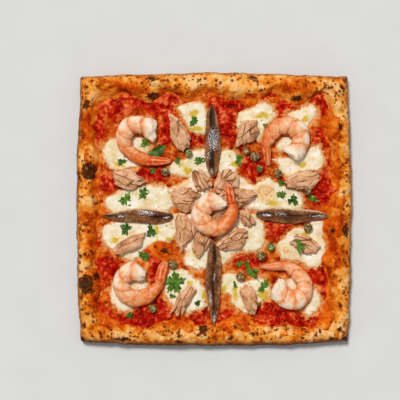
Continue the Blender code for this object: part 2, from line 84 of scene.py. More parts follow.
def startMaterial(name, numbers="", noises=()):
    # A new material, the function that adds nodes to it, the place in object coordinates, then the
    # mesh's own numbers by name, then noises, each by its swell in mm, its detail and its roughness.
    material = bpy.data.materials.new(name)
    material.use_nodes = True
    material.node_tree.nodes.clear()
    node = partial(addNode, material.node_tree)
    place = node("TexCoord", output=3)
    fields = [node("Attribute", output=2, attribute_name=label) for label in numbers.split()]
    for swell, detail, rough in noises:
        fields.append(node("TexNoise", {
            "Vector": place, "Scale": 1 / (swell * mm), "Detail": detail, "Roughness": rough}))
    return material, node, place, *fields


def weigh(node, start, *terms):
    # A number plus each further field times its weight.
    for field, weight in terms:
        start = node("Math", {0: field, 1: weight, 2: start}, operation="MULTIPLY_ADD")
    return start


def rise(node, field, low, high, most=1.0):
    # From 0 where the field is low to the most where it is high, along a smooth step.
    ends = {0: field, 1: low, 2: high, 3: 0.0, 4: most}
    return node("MapRange", ends, interpolation_type="SMOOTHSTEP")


def blend(node, share, colour, over):
    # A share of one colour laid over another; a list of stops is read as a ramp of that share.
    if isinstance(over, list):
        over = node("ValToRGB", {0: share}, stops=over)
    return node("Mix", {0: share, 6: colour, 7: over}, output=2, data_type="RGBA")


def layOver(node, colour, over, field, low, high, most=1.0):
    # Blends a colour over another by how far a field has risen.
    return blend(node, rise(node, field, low, high, most), colour, over)


def closeMaterial(material, node, inputs, bump=None):
    # The surface's shader; a bump is its strength, its depth in mm and the field that it follows.
    if bump:
        strength, depth, field = bump
        inputs["Normal"] = node("Bump", {"Strength": strength, "Distance": depth * mm, "Height": field})
    node("OutputMaterial", {"Surface": node("BsdfPrincipled", inputs)})
    return material


# Noise on whole arrays

def latticeValue(i, j, k, seed):
    # A repeatable number from 0 to 1 for each lattice corner, by mixing its whole-number place.
    mixed = i * 374761393 + j * 668265263 + k * 1440662683 + seed * 974634777
    mixed = (mixed ^ (mixed >> 13)) * 1274126177
    return ((mixed ^ (mixed >> 16)) & 0xFFFFFF) / 0xFFFFFF


def smoothNoise(x, y, z, size, seed):
    # Value noise from -1 to 1: random numbers on a lattice of that size, blended smoothly.
    scaled = np.broadcast_arrays(x / size, y / size, z / size)
    cells = [np.floor(c).astype(np.int64) for c in scaled]
    fades = [(c - np.floor(c)) ** 2 * (3 - 2 * (c - np.floor(c))) for c in scaled]
    total = 0
    for steps in np.ndindex(2, 2, 2):
        weight = 1
        for step, fade in zip(steps, fades):
            weight = weight * (fade if step else 1 - fade)
        total = total + weight * latticeValue(*(cell + step for cell, step in zip(cells, steps)), seed)
    return 2 * total - 1


def fractalNoise(x, y, z, size, seed, octaves=4):
    # Value noise summed over halving sizes, about -1 to 1.
    return sum(
        smoothNoise(x, y, z, size / 2 ** level, seed + level) / 2 ** level for level in range(octaves)
    ) / 1.6


def cellDistance(x, y, size, seed):
    # Of points scattered one to a square: distance to the nearest and how much further the second
    # is, both as shares of the square's side, and a number from 0 to 1 that belongs to the nearest.
    cellX, cellY = np.floor(x / size).astype(np.int64), np.floor(y / size).astype(np.int64)
    nearest, second = np.full(np.shape(x), 9.0), np.full(np.shape(x), 9.0)
    number = np.zeros(np.shape(x))
    for stepX in (-1, 0, 1):
        for stepY in (-1, 0, 1):
            i, j = cellX + stepX, cellY + stepY
            pointX, pointY = i + latticeValue(i, j, 0, seed), j + latticeValue(i, j, 1, seed)
            apart = np.hypot(x / size - pointX, y / size - pointY)
            number = np.where(apart < nearest, latticeValue(i, j, 2, seed), number)
            second = np.minimum(second, np.maximum(apart, nearest))
            nearest = np.minimum(nearest, apart)
    return nearest, second - nearest, number


def smoothStep(low, high, value):
    # 0 at low and before it, 1 at high and past it, three squares less two cubes between them.
    share = np.clip((value - low) / (high - low), 0, 1)
    return share * share * (3 - 2 * share)


def insideOvals(x, y, ovals):
    # How far inside the nearest of several ovals a point is, in metres; negative outside them all.
    # Each oval is its middle x and y, half length and half width in mm, and its turn in degrees.
    field = np.full(np.shape(x), -1.0)
    for ovalX, ovalY, long, wide, *turned in ovals:
        turn = np.radians(turned[0] if turned else 0)
        offX, offY = x - ovalX * mm, y - ovalY * mm
        along = offX * np.cos(turn) + offY * np.sin(turn)
        across = offY * np.cos(turn) - offX * np.sin(turn)
        inside = 1 - np.hypot(along / (long * mm), across / (wide * mm))
        field = np.maximum(field, inside * min(long, wide) * mm)
    return field


def inSpots(x, y, spots, edge):
    # From -1 well outside the ovals to 1 well inside them, over an edge of that width each way.
    return np.clip(insideOvals(x, y, spots) / edge, -1, 1)


def insideOutlines(x, y, outlines):
    # How far inside the nearest of several closed outlines (corners in mm) a point is, in metres;
    # negative outside them all: the distance to the nearest edge, signed by how often a line to the
    # right crosses the outline.
    field = np.full(np.shape(x), -1.0)
    for outline in outlines:
        start = np.array(outline) * mm
        step = np.roll(start, -1, axis=0) - start
        offX, offY = x[..., None] - start[:, 0], y[..., None] - start[:, 1]
        share = np.clip((offX * step[:, 0] + offY * step[:, 1]) / (step ** 2).sum(axis=1), 0, 1)
        apart = np.hypot(offX - share * step[:, 0], offY - share * step[:, 1]).min(axis=-1)
        endY = offY - step[:, 1]
        level = np.where(step[:, 1] == 0, 1, step[:, 1])
        crossed = ((offY < 0) != (endY < 0)) & (offX < offY / level * step[:, 0])
        field = np.maximum(field, np.where(crossed.sum(axis=-1) % 2 == 1, apart, -apart))
    return field


# Meshes

def squareCorners(index):
    # The four corners of every square of a grid of point numbers, in order round it.
    return np.stack([index[:-1, :-1], index[:-1, 1:], index[1:, 1:], index[1:, :-1]], axis=-1)


def withPoles(grid):
    # The points or numbers of a grid as one list, then the mean of its first and of its last ring.
    poles = grid[:1].mean(axis=1), grid[-1:].mean(axis=1)
    return np.concatenate([grid.reshape(-1, *grid.shape[2:]), *poles])


def closeTube(rings, values):
    # Closed rings laid end to end, with a fan to a pole point at each end: points, faces, numbers.
    rows, columns = rings.shape[:2]
    index = np.arange(rows * columns).reshape(rows, columns)
    beside = np.roll(index, -1, axis=1)
    quads = np.stack([index[:-1], beside[:-1], beside[1:], index[1:]], axis=-1).reshape(-1, 4)
    pole = np.full(columns, rows * columns)
    firstFan = np.stack([beside[0], index[0], pole], axis=-1)
    lastFan = np.stack([index[-1], beside[-1], pole + 1], axis=-1)
    values = {label: withPoles(np.broadcast_to(v, (rows, columns))) for label, v in values.items()}
    return withPoles(rings), [quads, np.concatenate([firstFan, lastFan])], values


def ringNormals(rings):
    # Unit normals of a ring grid from the cross product of its two directions.
    along = np.gradient(rings, axis=0)
    around = np.roll(rings, -1, axis=1) - np.roll(rings, 1, axis=1)
    normal = np.cross(around, along)
    return normal / np.maximum(np.linalg.norm(normal, axis=-1, keepdims=True), 1e-12)


def turnedOut(points, faceSets):
    # The faces with their corners in the order that faces outwards: the volume that they enclose,
    # a sum of triple products, is then positive.
    volume = 0
    for faces in faceSets:
        for i in range(1, faces.shape[1] - 1):
            first, second, third = (points[faces[:, corner]] for corner in (0, i, i + 1))
            volume += np.einsum("ij,ij->", first, np.cross(second, third))
    return [faces[:, ::-1] for faces in faceSets] if volume < 0 else faceSets


def joinShapes(shapes):
    # Several shapes, each points, face sets and numbers, as one.
    points, faceSets, values, start = [], [], {}, 0
    for shapePoints, shapeFaces, shapeValues in shapes:
        points.append(shapePoints)
        faceSets += [faces + start for faces in turnedOut(shapePoints, shapeFaces)]
        for label, numbers in shapeValues.items():
            values.setdefault(label, []).append(numbers)
        start += len(shapePoints)
    return np.concatenate(points), faceSets, {label: np.concatenate(v) for label, v in values.items()}


def addPiece(name, shape, material, nodes=()):
    # Makes the mesh of a shape, stores its numbers by name and hands the piece to the frame.
    points, faceSets, values = shape
    mesh = bpy.data.meshes.new(name)
    faces = [face for group in turnedOut(points, faceSets) for face in group.tolist()]
    mesh.from_pydata(points.tolist(), [], faces)
    for label, numbers in values.items():
        layer = mesh.attributes.new(label, "FLOAT", "POINT")
        layer.data.foreach_set("value", np.asarray(numbers, np.float32).ravel())
    mesh.shade_smooth()
    mesh.materials.append(material)
    piece = bpy.data.objects.new(name, mesh)
    scene.collection.objects.link(piece)
    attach(piece, "root")
    if nodes:
        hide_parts(*nodes)


def pieceName(node):
    # The node's words run together, each after the first with a capital.
    first, *others = node.split("_")
    return first + "".join(word.capitalize() for word in others)


# Crust

crust = {
    "sideBow": 4.2 * mm, "cornerRadius": 2.5 * mm, "wellCornerRadius": 20 * mm,
    "wellLeft": -112 * mm, "wellRight": 116 * mm, "wellFront": -118 * mm, "wellRear": 114 * mm,
    "rimHeight": 20.5 * mm, "widestHeight": 8 * mm, "wellFloor": 7.5 * mm,
    "crestAt": 0.44,  # share of the rim's width, from outside, where it is highest
    "undercut": 0.17,
    "sideColumns": 176, "cornerColumns": 10, "underRows": 12, "overRows": 36, "slopeRows": 50,
    "topRow": 40,  # a row of rings whose normals point up
    "lumpSize": 15 * mm, "lumpRise": 1.3 * mm,
    "blisterSize": 5.5 * mm, "blisterRise": 0.8 * mm,
    "grainSize": 2.6 * mm, "grainRise": 0.35 * mm,
    "bubbleSize": 12 * mm, "bubbleRise": 1.7 * mm, "bubbleShare": 0.55,
    "leastSwell": -7 * mm, "mostSwell": 5 * mm,  # how far the well's edge may leave its rounded square
    "charEdge": 2.4 * mm, "charDent": 0.25 * mm, "toneEdge": 5 * mm, "stainEdge": 10 * mm,
    "puffColumns": 44, "puffRows": 18, "puffSkirt": 1.2, "puffLeast": 10.6 * mm, "puffSunk": 2.2 * mm,
    # waves of an edge or of the crest: swells round the lap, size in mm, phase
    "outerWaves": ((9, 0.35, 0.4), (16, 0.3, 2.1), (31, 0.25, 4)),
    "wellWaves": ((11, 0.6, 5), (19, 0.8, 2.6), (37, 0.5, 0.7)),
    "crestWaves": ((5, 0.8, 0.3), (9, 0.7, 4.4), (17, 0.6, 1.2)),
}
wellHalfX = (crust["wellRight"] - crust["wellLeft"]) / 2
wellHalfY = (crust["wellRear"] - crust["wellFront"]) / 2
wellMiddleX = (crust["wellRight"] + crust["wellLeft"]) / 2
wellMiddleY = (crust["wellRear"] + crust["wellFront"]) / 2

# How far the sauce's edge lies outside the well's rounded square, in mm: nineteen places along each
# side and the corner after it, anticlockwise from the front end of the right side
sauceEdge = (
    (3, 1, 2, 0, -7, -5, 6, -3, -2, -2, 2, 9, 6, 5, 8, 7, -2, -4, 2, 6),
    (6.5, -6, -3, 1, 9.5, -3, -4, 0, 1, 3.5, 7.5, -1, -5, 7.5, 5.5, -5, 0, 7.5, 7.5, 2),
    (14, 15, 12, 10, 4, 6, 10, 13, 5, 5, 10, 13, 9, 8, 12, 4, 2, 8, 9, -2),
    (2.5, -0.5, 4.5, 3.5, -5.5, -8.5, -6.5, 3.5, 0.5, 3.5, -6.5, -8.5, -8.5, -0.5, 3.5, 2.5, -0.5,
     6.5, 4.5, -0.5),
)

# Paler, drier places of the rim and deep orange, oily ones: middle x and y, half length and half
# width in mm
paleSpots = (
    (14, 131, 16, 9), (43, 131, 12, 8), (112, 122, 16, 10), (-24, 130, 12, 8), (-60, 131, 8, 4),
    (133, 98, 8, 20), (133, 60, 7, 14), (-76, -124, 18, 6), (-48, -128, 16, 6), (60, -126, 22, 7),
    (112, -126, 20, 9), (-2, -127, 14, 6), (132, -86, 8, 20), (-118, -110, 8, 8), (-124, 59, 9, 9),
    (133, 14, 7, 16), (28, -126, 8, 5), (-128, -60, 7, 6), (-126, 8, 8, 8), (-124, 120, 10, 6),
)
oilySpots = (
    (84, 124, 24, 9), (-96, 124, 22, 8), (-128, 84, 8, 18), (-126, -8, 9, 16), (-124, -38, 9, 14),
    (124, 74, 9, 18), (124, 30, 8, 16), (122, -50, 9, 20), (-20, 118, 22, 5), (-116, -88, 10, 20),
    (124, -4, 10, 12), (62, 118, 10, 5), (-40, -116, 16, 4), (36, -114, 20, 4), (-100, -116, 12, 5),
)

# Bubbles in the rim: x, y, radius and height in mm
crustBubbles = (
    (-129, 39, 9, 2.6), (-133, -76, 9, 2.6), (-132, 108, 9, 1.6), (-64, 134, 7, 1.6),
    (-62, 119, 8, 4), (86, 116, 10, 4.5), (40, 137, 7, 1.4), (130, 86, 7, 1.6), (135, -22, 8, 1.8),
    (122, -24, 9, 2), (131, -126, 8, 1.6), (-35, -137, 7, 1.6), (-11, -124, 7, 2),
    (73, -122, 8, 2.4), (24, -120, 12, 3), (-51, -125, 7, 1.4), (20, 118, 14, 2.4),
    (-100, -128, 9, 1.8), (100, 128, 10, 1.6), (-122, -20, 9, 1.6),
)

# Bulges of dough that swelled over the sauce's edge: x, y, half length, half width and height in mm,
# turn in degrees
doughPuffs = (
    (-65.7, 117.4, 8.5, 7.5, 4, 0), (84.1, 115, 10.5, 9, 4.4, 0), (-99.6, 116.4, 6.5, 5, 1.4, 10),
    (-29.8, 113.5, 10, 7, 2.6, 0), (36.9, 112, 9, 6.5, 2.4, 0), (-49.3, -121.6, 7, 7.5, 2.6, 0),
    (-30.8, -118, 10.5, 9, 2.8, 0), (-11.3, -124.7, 6, 6, 3.4, 0), (17.4, -117.5, 9.5, 9, 2.8, 0),
    (33, -115, 8.5, 8, 2.4, 0), (71.8, -121.6, 8, 6.5, 2.8, 0), (-101.6, -118, 9, 6, 2.2, -20),
    (-122, 52, 9, 11, 1.8, 0), (-119, 27, 8, 7, 2.4, 0), (-124, -73, 8, 11, 3, 0),
    (-120, -3, 9, 9, 2.4, 0), (-122, -45, 8, 7, 2.2, 0), (-112, -92, 9, 7, 2, -50),
    (119, 86, 10, 13, 3, 0), (121, -20, 10, 11, 3, 0), (116, -52, 9, 10, 2.8, 0),
    (124, 10, 8, 9, 2.2, 0), (-55.4, -42.6, 15, 12.5, 3.2, 0), (60, 113, 7, 5, 1.8, 0),
    (112, -112, 10, 8, 2.4, 45), (12, 114, 8, 5, 1.8, 0),
)

# Charred spots on the rim: middle x and y, half length and half width in mm, turn in degrees
charSpots = (
    (-127.5, 39, 9.2, 10.3), (-138, 35, 2.9, 10.4), (-130.5, -75, 9.2, 10.3),
    (-131.5, -83.1, 5.2, 5.2), (-124.4, -83.1, 3.4, 4.7), (-120.4, -68, 4.7, 4.7),
    (-135.5, -90.2, 2.6, 3.4), (-131, -15, 3.1, 3.1), (-136.5, -19.5, 2.6, 3.9),
    (-131.5, -45.8, 3.1, 3.1), (-128.4, -46.8, 2.6, 3.4), (-125.4, -42.7, 2.6, 2.6),
    (-136.5, -47.8, 2.6, 3.9), (-130.5, 106.6, 4.2, 6.4), (-130.5, 124.8, 2.9, 3.4),
    (-124.9, 130.9, 3.1, 2.6), (-118.3, 124.8, 2.6, 3.9), (-133.5, 79.4, 2.3, 3.1),
    (-133.5, 72.4, 2.3, 3.1), (-136.5, 108.7, 2.1, 5.2), (-136.5, 93.5, 2.1, 5.2),
    (-129.4, -106.3, 3.4, 3.4), (-132.5, -118.5, 3.4, 3.9), (-136.5, -116.4, 1.6, 3.9),
    (-115.4, -116.4, 2.6, 2.1), (-109.7, -119.5, 2.9, 2.6), (-104.7, -123, 3.1, 2.6),
    (-100.2, -113.4, 5.2, 2.1, -35), (-124.4, -128.6, 2.1, 5.2, 30), (-115.4, -126.6, 4.2, 3.4),
    (-94.1, -132.1, 11.7, 3.1), (-86, -126, 2.3, 2.1), (-80, -129.5, 3.9, 2.1),
    (-50.7, -120.5, 2.9, 2.3), (-51.2, -124.5, 3.9, 2.3), (-35.6, -129, 5.7, 2.1),
    (-35.1, -135.1, 7.8, 3.4), (-10.9, -122.5, 5.7, 5.7), (16.4, -130.1, 4.7, 3.4),
    (22, -119.5, 5.2, 1.8), (35.6, -117.4, 2.3, 2.3), (39.6, -126.6, 5.2, 2.6),
    (39.6, -112.9, 2.6, 2.1), (56.3, -125.5, 2.1, 2.1), (71.4, -118.5, 5.2, 2.1, -15),
    (74, -122.5, 3.9, 2.1), (89.6, -130.6, 2.9, 2.9), (107.8, -125.5, 2.6, 2.6),
    (119.9, -113.9, 2.6, 2.9), (118.9, -132.1, 4.2, 3.4), (128, -122.5, 4.4, 3.9),
    (132.5, -117.4, 2.1, 5.2), (128.5, -97.3, 3.1, 4.4), (128.5, 84.5, 3.9, 4.9),
    (129, 73.9, 2.1, 2.1), (134.6, 35, 2.1, 3.9), (134.1, -22.1, 4.7, 9.1),
    (120.6, -21.6, 3.6, 4.4), (129.5, -3.4, 2.1, 3.9), (132, 6.7, 1.8, 2.6),
    (134.6, -55.3, 2.1, 3.9), (123.5, -68, 2.3, 3.9), (127, -61, 2.1, 2.6),
    (130.1, 123.4, 2.9, 6.5, 35), (121.9, 131.9, 2.3, 2.6), (119.9, 124.3, 2.3, 2.1),
    (-63.3, 132.9, 7.3, 3.6), (-14.4, 131.9, 3.6, 2.3), (-46.7, 131.4, 2.1, 1.6),
    (39.1, 134.5, 7, 2.9), (62.4, 136.4, 2.6, 1.3), (68.5, 132.9, 2.6, 2.1),
    (84.6, 113.7, 6.4, 4.6), (-62.3, 115.8, 6.9, 5.4), (-39.6, 116.8, 4.4, 3.9),
    (-27.5, 119.3, 2.6, 2.3), (-135, 133.9, 3.4, 2.1), (133, 132.4, 3.4, 3.4),
    (133.5, -131.6, 3.9, 3.9), (-133.5, -131.6, 3.4, 3.4), (42.2, -135.6, 3.9, 1.6),
    (1.8, -135.6, 3.9, 1.6), (20.9, 119.3, 2.3, 1.6), (3.3, 116.8, 2.3, 2.3),
    (-51.4, -42.2, 5.2, 3.9), (-60.3, -38.2, 2.6, 2.6),
)


def roundTheSquare(lap, halfX, halfY, corner, bow):
    # The point of a rounded, bowed square that a lap from 0 to 1 reaches, and its outward angle.
    # Each quarter of the lap is nine tenths side and one tenth corner arc.
    quarter = np.floor(lap * 4).astype(int) % 4
    share = lap * 4 - np.floor(lap * 4)
    reach = np.where(quarter % 2 == 0, halfX, halfY)
    alongHalf = np.where(quarter % 2 == 0, halfY, halfX)
    onSide = share < 0.9
    t = share / 0.9 * 2 - 1
    angle = np.where(onSide, 0, (share - 0.9) / 0.1 * pi / 2)
    across = np.where(onSide, reach + bow * (1 - t * t), reach - corner + corner * np.cos(angle))
    along = np.where(onSide, t * (alongHalf - corner), alongHalf - corner + corner * np.sin(angle))
    turn = quarter * pi / 2
    x = across * np.cos(turn) - along * np.sin(turn)
    y = across * np.sin(turn) + along * np.cos(turn)
    return x, y, turn + angle


def wave(lap, terms):
    # A sum of sines round the lap, each term its count of swells, size in mm and phase.
    return sum(size * mm * np.sin(2 * pi * count * lap + phase) for count, size, phase in terms)


def outerPoint(lap):
    # The rim's outer edge at a place of the lap: the solid's bowed square, moved out by small waves.
    low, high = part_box("crust")
    halfX, halfY = (high.x - low.x) / 2 - crust["sideBow"], (high.y - low.y) / 2 - crust["sideBow"]
    x, y, angle = roundTheSquare(lap, halfX, halfY, crust["cornerRadius"], crust["sideBow"])
    out = wave(lap, crust["outerWaves"])
    return x + out * np.cos(angle), y + out * np.sin(angle)


def edgeReach(lap):
    # The sauce's edge at a place round the lap: the measured values joined by lines and rounded off
    # by a sliding mean.
    reaches = np.ravel(sauceEdge)
    count = 512
    steps = np.arange(count) / count
    joined = np.interp(steps, np.arange(len(reaches)) / len(reaches), reaches, period=1)
    window = np.hanning(11)
    rounded = np.convolve(np.tile(joined, 3), window / window.sum(), "same")[count:2 * count]
    return np.interp(lap, steps, rounded, period=1) * mm


def wellSwell(lap):
    # How far the well's outline leaves its rounded square: with the sauce's edge, within limits.
    return np.clip(edgeReach(lap) - 5 * mm, crust["leastSwell"], crust["mostSwell"])


def wellPoint(lap):
    # The well's outline at a place of the lap: its rounded square, swollen and with small waves.
    x, y, angle = roundTheSquare(lap, wellHalfX, wellHalfY, crust["wellCornerRadius"], 0)
    out = wellSwell(lap) + wave(lap, crust["wellWaves"])
    return x + wellMiddleX + out * np.cos(angle), y + wellMiddleY + out * np.sin(angle)


def squareDistance(x, y):
    # Distance outside the well's rounded square, negative inside it, and the lap of the place on it
    # that is nearest: along a side, or round the arc of a corner.
    offX, offY = x - wellMiddleX, y - wellMiddleY
    corner = crust["wellCornerRadius"]
    overX, overY = np.abs(offX) - wellHalfX + corner, np.abs(offY) - wellHalfY + corner
    beyond, within = np.hypot(np.maximum(overX, 0), np.maximum(overY, 0)), np.maximum(overX, overY)
    outside = beyond + np.minimum(within, 0) - corner
    alongX = np.clip(offX / (wellHalfX - corner), -1, 1) * 0.45 + 0.45
    alongY = np.clip(offY / (wellHalfY - corner), -1, 1) * 0.45 + 0.45
    rightOrLeft = np.where(offX > 0, alongY, 2.9 - alongY)
    rearOrFront = np.where(offY > 0, 1.9 - alongX, 3 + alongX)
    onSide = np.where(overX > overY, rightOrLeft, rearOrFront)
    arc = np.arctan2(np.maximum(overY, 0), np.maximum(overX, 0)) / (pi / 2) * 0.1
    onArc = np.where(
        offY > 0, np.where(offX > 0, 0.9 + arc, 2 - arc), np.where(offX > 0, 4 - arc, 2.9 + arc))
    lap = np.where((overX > 0) & (overY > 0), onArc, onSide) / 4
    return outside, lap


def bubbleRise(x, y):
    # Height of the bubbles at a place: for each, one less the squared distance, squared.
    rise = 0
    for bubbleX, bubbleY, radius, height in crustBubbles:
        apart = ((x - bubbleX * mm) ** 2 + (y - bubbleY * mm) ** 2) / (radius * mm) ** 2
        rise = rise + height * mm * np.clip(1 - apart, 0, 1) ** 2
    return rise


def slopeHeight(x, y):
    # Height of the rim's inner slope at a place: a half cosine from the crest down to the well floor
    # over the share of the way from the outer edge to the well's outline.
    low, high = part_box("crust")
    fromEdge = np.minimum(np.minimum(x - low.x, high.x - x), np.minimum(y - low.y, high.y - y))
    outside, lap = squareDistance(x, y)
    toWell = np.maximum(outside - wellSwell(lap), 0)
    share = fromEdge / np.maximum(fromEdge + toWell, 1 * mm)
    slope = np.clip((share - crust["crestAt"]) / (1 - crust["crestAt"]), 0, 1)
    drop = crust["rimHeight"] - crust["wellFloor"]
    return crust["wellFloor"] + drop * (0.5 + 0.5 * np.cos(pi * slope))


def roundPuffs(x, y, z):
    # Round puffs, one in most cells of two sizes: one less the squared distance from its point.
    puffs = 0
    for size, seed in ((1.0, 71), (0.55, 73)):
        cell = crust["bubbleSize"] * size
        wanderX = cell * 0.25 * smoothNoise(x, y, z, 7 * mm, seed)
        wanderY = cell * 0.25 * smoothNoise(x, y, z, 7 * mm, seed + 1)
        apart, _, number = cellDistance(x + wanderX, y + wanderY, cell, seed)
        dome = np.clip(1 - (apart / (0.25 + 0.35 * number)) ** 2, 0, 1) ** 1.2
        puffs = puffs + size * dome * (number > 1 - crust["bubbleShare"])
    return puffs


def spotValues(x, y):
    # How charred and how pale the dough is at a place.
    return inSpots(x, y, charSpots, crust["charEdge"]), inSpots(x, y, paleSpots, crust["toneEdge"])


def crustShape():
    # Rings of the rim from the middle of the base, round the outer side, over the crest and down
    # the inner slope to the middle of the well: a height over a place across the rim.
    side = np.arange(crust["sideColumns"]) * 0.9 / crust["sideColumns"]
    corner = 0.9 + np.arange(crust["cornerColumns"]) * 0.1 / crust["cornerColumns"]
    lap = np.concatenate([(quarter + np.concatenate([side, corner])) / 4 for quarter in range(4)])
    outerX, outerY = outerPoint(lap)
    wellX, wellY = wellPoint(lap)
    crest = crust["rimHeight"] + wave(lap, crust["crestWaves"])
    under = np.linspace(-pi / 2, 0, crust["underRows"])
    over = np.linspace(0, pi / 2, crust["overRows"])[1:]
    slope = np.linspace(0, 1, crust["slopeRows"])[1:]
    downSlope = crust["crestAt"] + (1 - crust["crestAt"]) * slope
    share = np.concatenate([
        crust["undercut"] * (1 - np.cos(under)), crust["crestAt"] * (1 - np.cos(over)), downSlope,
    ])[:, None]
    puffed = np.concatenate([0 * under, np.sin(over), smoothStep(0.96, 0.74, downSlope)])
    x = outerX + (wellX - outerX) * share
    y = outerY + (wellY - outerY) * share
    floor, widest = crust["wellFloor"], crust["widestHeight"]
    z = np.concatenate([
        widest * (1 + np.sin(under))[:, None] * np.ones(len(lap)),
        widest + (crest - widest) * np.sin(over)[:, None],
        floor + (crest - floor) * (0.5 + 0.5 * np.cos(pi * slope))[:, None],
    ]) + bubbleRise(x, y) * puffed[:, None]
    rings = np.stack([x, y, z], axis=-1)
    # lumps, blisters, round puffs and a wrinkled skin along the normals, held back on the base
    lumps = fractalNoise(x, y, z, crust["lumpSize"], 11, 3)
    blister = smoothNoise(x, y, z, crust["blisterSize"], 23)
    blister = blister + 0.5 * smoothNoise(x, y, z, crust["blisterSize"] / 2, 24)
    puff = smoothStep(-0.1, 0.9, blister)
    grain = fractalNoise(x, y, z, crust["grainSize"], 17, 3)
    puffs = roundPuffs(x, y, z)
    char, pale = spotValues(x, y)
    pale = pale - inSpots(x, y, oilySpots, crust["toneEdge"])
    outside, nearest = squareDistance(x, y)
    stained = smoothStep(crust["stainEdge"], -1 * mm, outside - edgeReach(nearest))
    relief = lumps * crust["lumpRise"] + puff * crust["blisterRise"] + grain * crust["grainRise"]
    relief = relief + puffs * crust["bubbleRise"]
    held = smoothStep(0.3 * mm, 4 * mm, z)
    relief = (relief - crust["charDent"] * smoothStep(0.1, 0.8, char)) * held
    relief = relief * (0.35 + 0.65 * smoothStep(0.03, 0.3, share))
    normals = ringNormals(rings)
    upward = 1 if normals[crust["topRow"], 0, 2] > 0 else -1
    rings = rings + normals * upward * relief[..., None]
    # painted light and shade: the inner slope lighter and more orange towards the rear, where it
    # faces away from the key light, darker towards the front, and the front crest lighter; the
    # outer edge darkest at the front and on the left, browner crust with painted shade
    onSlope = smoothStep(0.5, 0.7, share)
    crestGlow = 0.4 * (1 - onSlope) * smoothStep(0.18, 0.32, share)
    crestGlow = crestGlow * smoothStep(-100 * mm, -120 * mm, y)
    glow = onSlope * (0.35 + 0.85 * y / (115 * mm)) + crestGlow
    # painted shade on the outer side as it turns down, widest and deepest at the front and on the left;
    # partly the browner crust of the side
    edgeDark = np.maximum(
        smoothStep(-118 * mm, -132 * mm, y), 0.4 * smoothStep(-124 * mm, -134 * mm, x))
    outer = smoothStep(0.13 + 0.15 * edgeDark, 0.0, share) * (1 + 0.6 * edgeDark)
    # flat inner rings close the base and the hidden floor of the well
    inward = np.array([0.05, 0.4, 0.75])[:, None, None]
    base = rings[:1] * np.array([1, 1, 0]) * inward
    well = rings[-1:] * (1 - inward * np.array([1, 1, 0]))
    # each number with what it is on the base and on the floor of the well
    # the relief's lumps and puffs also lighten the colour on raised places: a painted highlight
    numbers = {
        "stained": (stained, 0, 1), "char": (char, -1, -1), "lump": (lumps, 0, 0),
        "puff": (np.maximum(puff, puffs), 0, 0), "pale": (pale, 0, 0), "outer": (outer, 1, 0),
        "glow": (glow, 0, 0),
    }
    padding = ((len(inward), len(inward)), (0, 0))
    values = {
        label: np.pad(field, padding, constant_values=((onBase, inWell), (0, 0)))
        for label, (field, onBase, inWell) in numbers.items()}
    return closeTube(np.concatenate([base, rings, well]), values)


def puffShape(spec, seed):
    # Rings from the top of a low oval dome down to its rim and back below: the ground's height plus
    # a bulge, one less the squared distance to the power 1.4.
    middleX, middleY, long, wide, height, turn = spec
    long, wide = crust["puffSkirt"] * long, crust["puffSkirt"] * wide
    around = np.linspace(0, 2 * pi, crust["puffColumns"], endpoint=False)[None]
    outward = np.linspace(0.03, 1, crust["puffRows"])
    reach = np.concatenate([outward, [0.8, 0.4]])[:, None]
    under = np.concatenate([0 * outward, [1, 1]])[:, None]
    uneven = 1 + 0.12 * smoothNoise(np.cos(around) * 1.4, np.sin(around) * 1.4, seed * 1.3, 1, seed)
    offLong = np.cos(around) * reach * uneven * long * mm
    offWide = np.sin(around) * reach * uneven * wide * mm
    angle = np.radians(turn)
    x = middleX * mm + offLong * np.cos(angle) - offWide * np.sin(angle)
    y = middleY * mm + offLong * np.sin(angle) + offWide * np.cos(angle)
    ground = np.maximum(slopeHeight(x, y), crust["puffLeast"])
    bulge = height * mm * np.clip(1 - reach ** 2, 0, 1) ** 1.4
    lumps = fractalNoise(x, y, seed, 7 * mm, seed + 40, 3)
    grain = fractalNoise(x, y, seed, crust["grainSize"], seed + 60, 3)
    relief = (0.9 * lumps + 0.3 * grain) * mm * smoothStep(1, 0.6, reach)
    z = ground + bulge + relief - 0.4 * mm * smoothStep(0.85, 1, reach)
    z = np.where(under > 0, ground - crust["puffSunk"], z)
    char, pale = spotValues(x, y)
    # the dome's colour lightens towards its top: a painted highlight
    return closeTube(np.stack([x, y, z], axis=-1), {
        "stained": 0.6 + 0.4 * smoothStep(0.3, 1.0, reach), "char": char, "lump": lumps,
        "puff": 0.6 * smoothStep(1, 0.2, reach), "pale": pale - 0.3, "outer": 0, "glow": 0,
    })


# Dough soaked with oil and tomato, and the noises that lighten and darken it, on the rim and under
# the thin sauce that is baked onto it
soakedDough = [(0.1, "#A22804"), (0.32, "#D45008"), (0.55, "#EA7818"), (0.85, "#F6A84C")]
doughNoises = ((15, 4, 0.5), (6, 4, 0.6), (2.4, 6, 0.65))


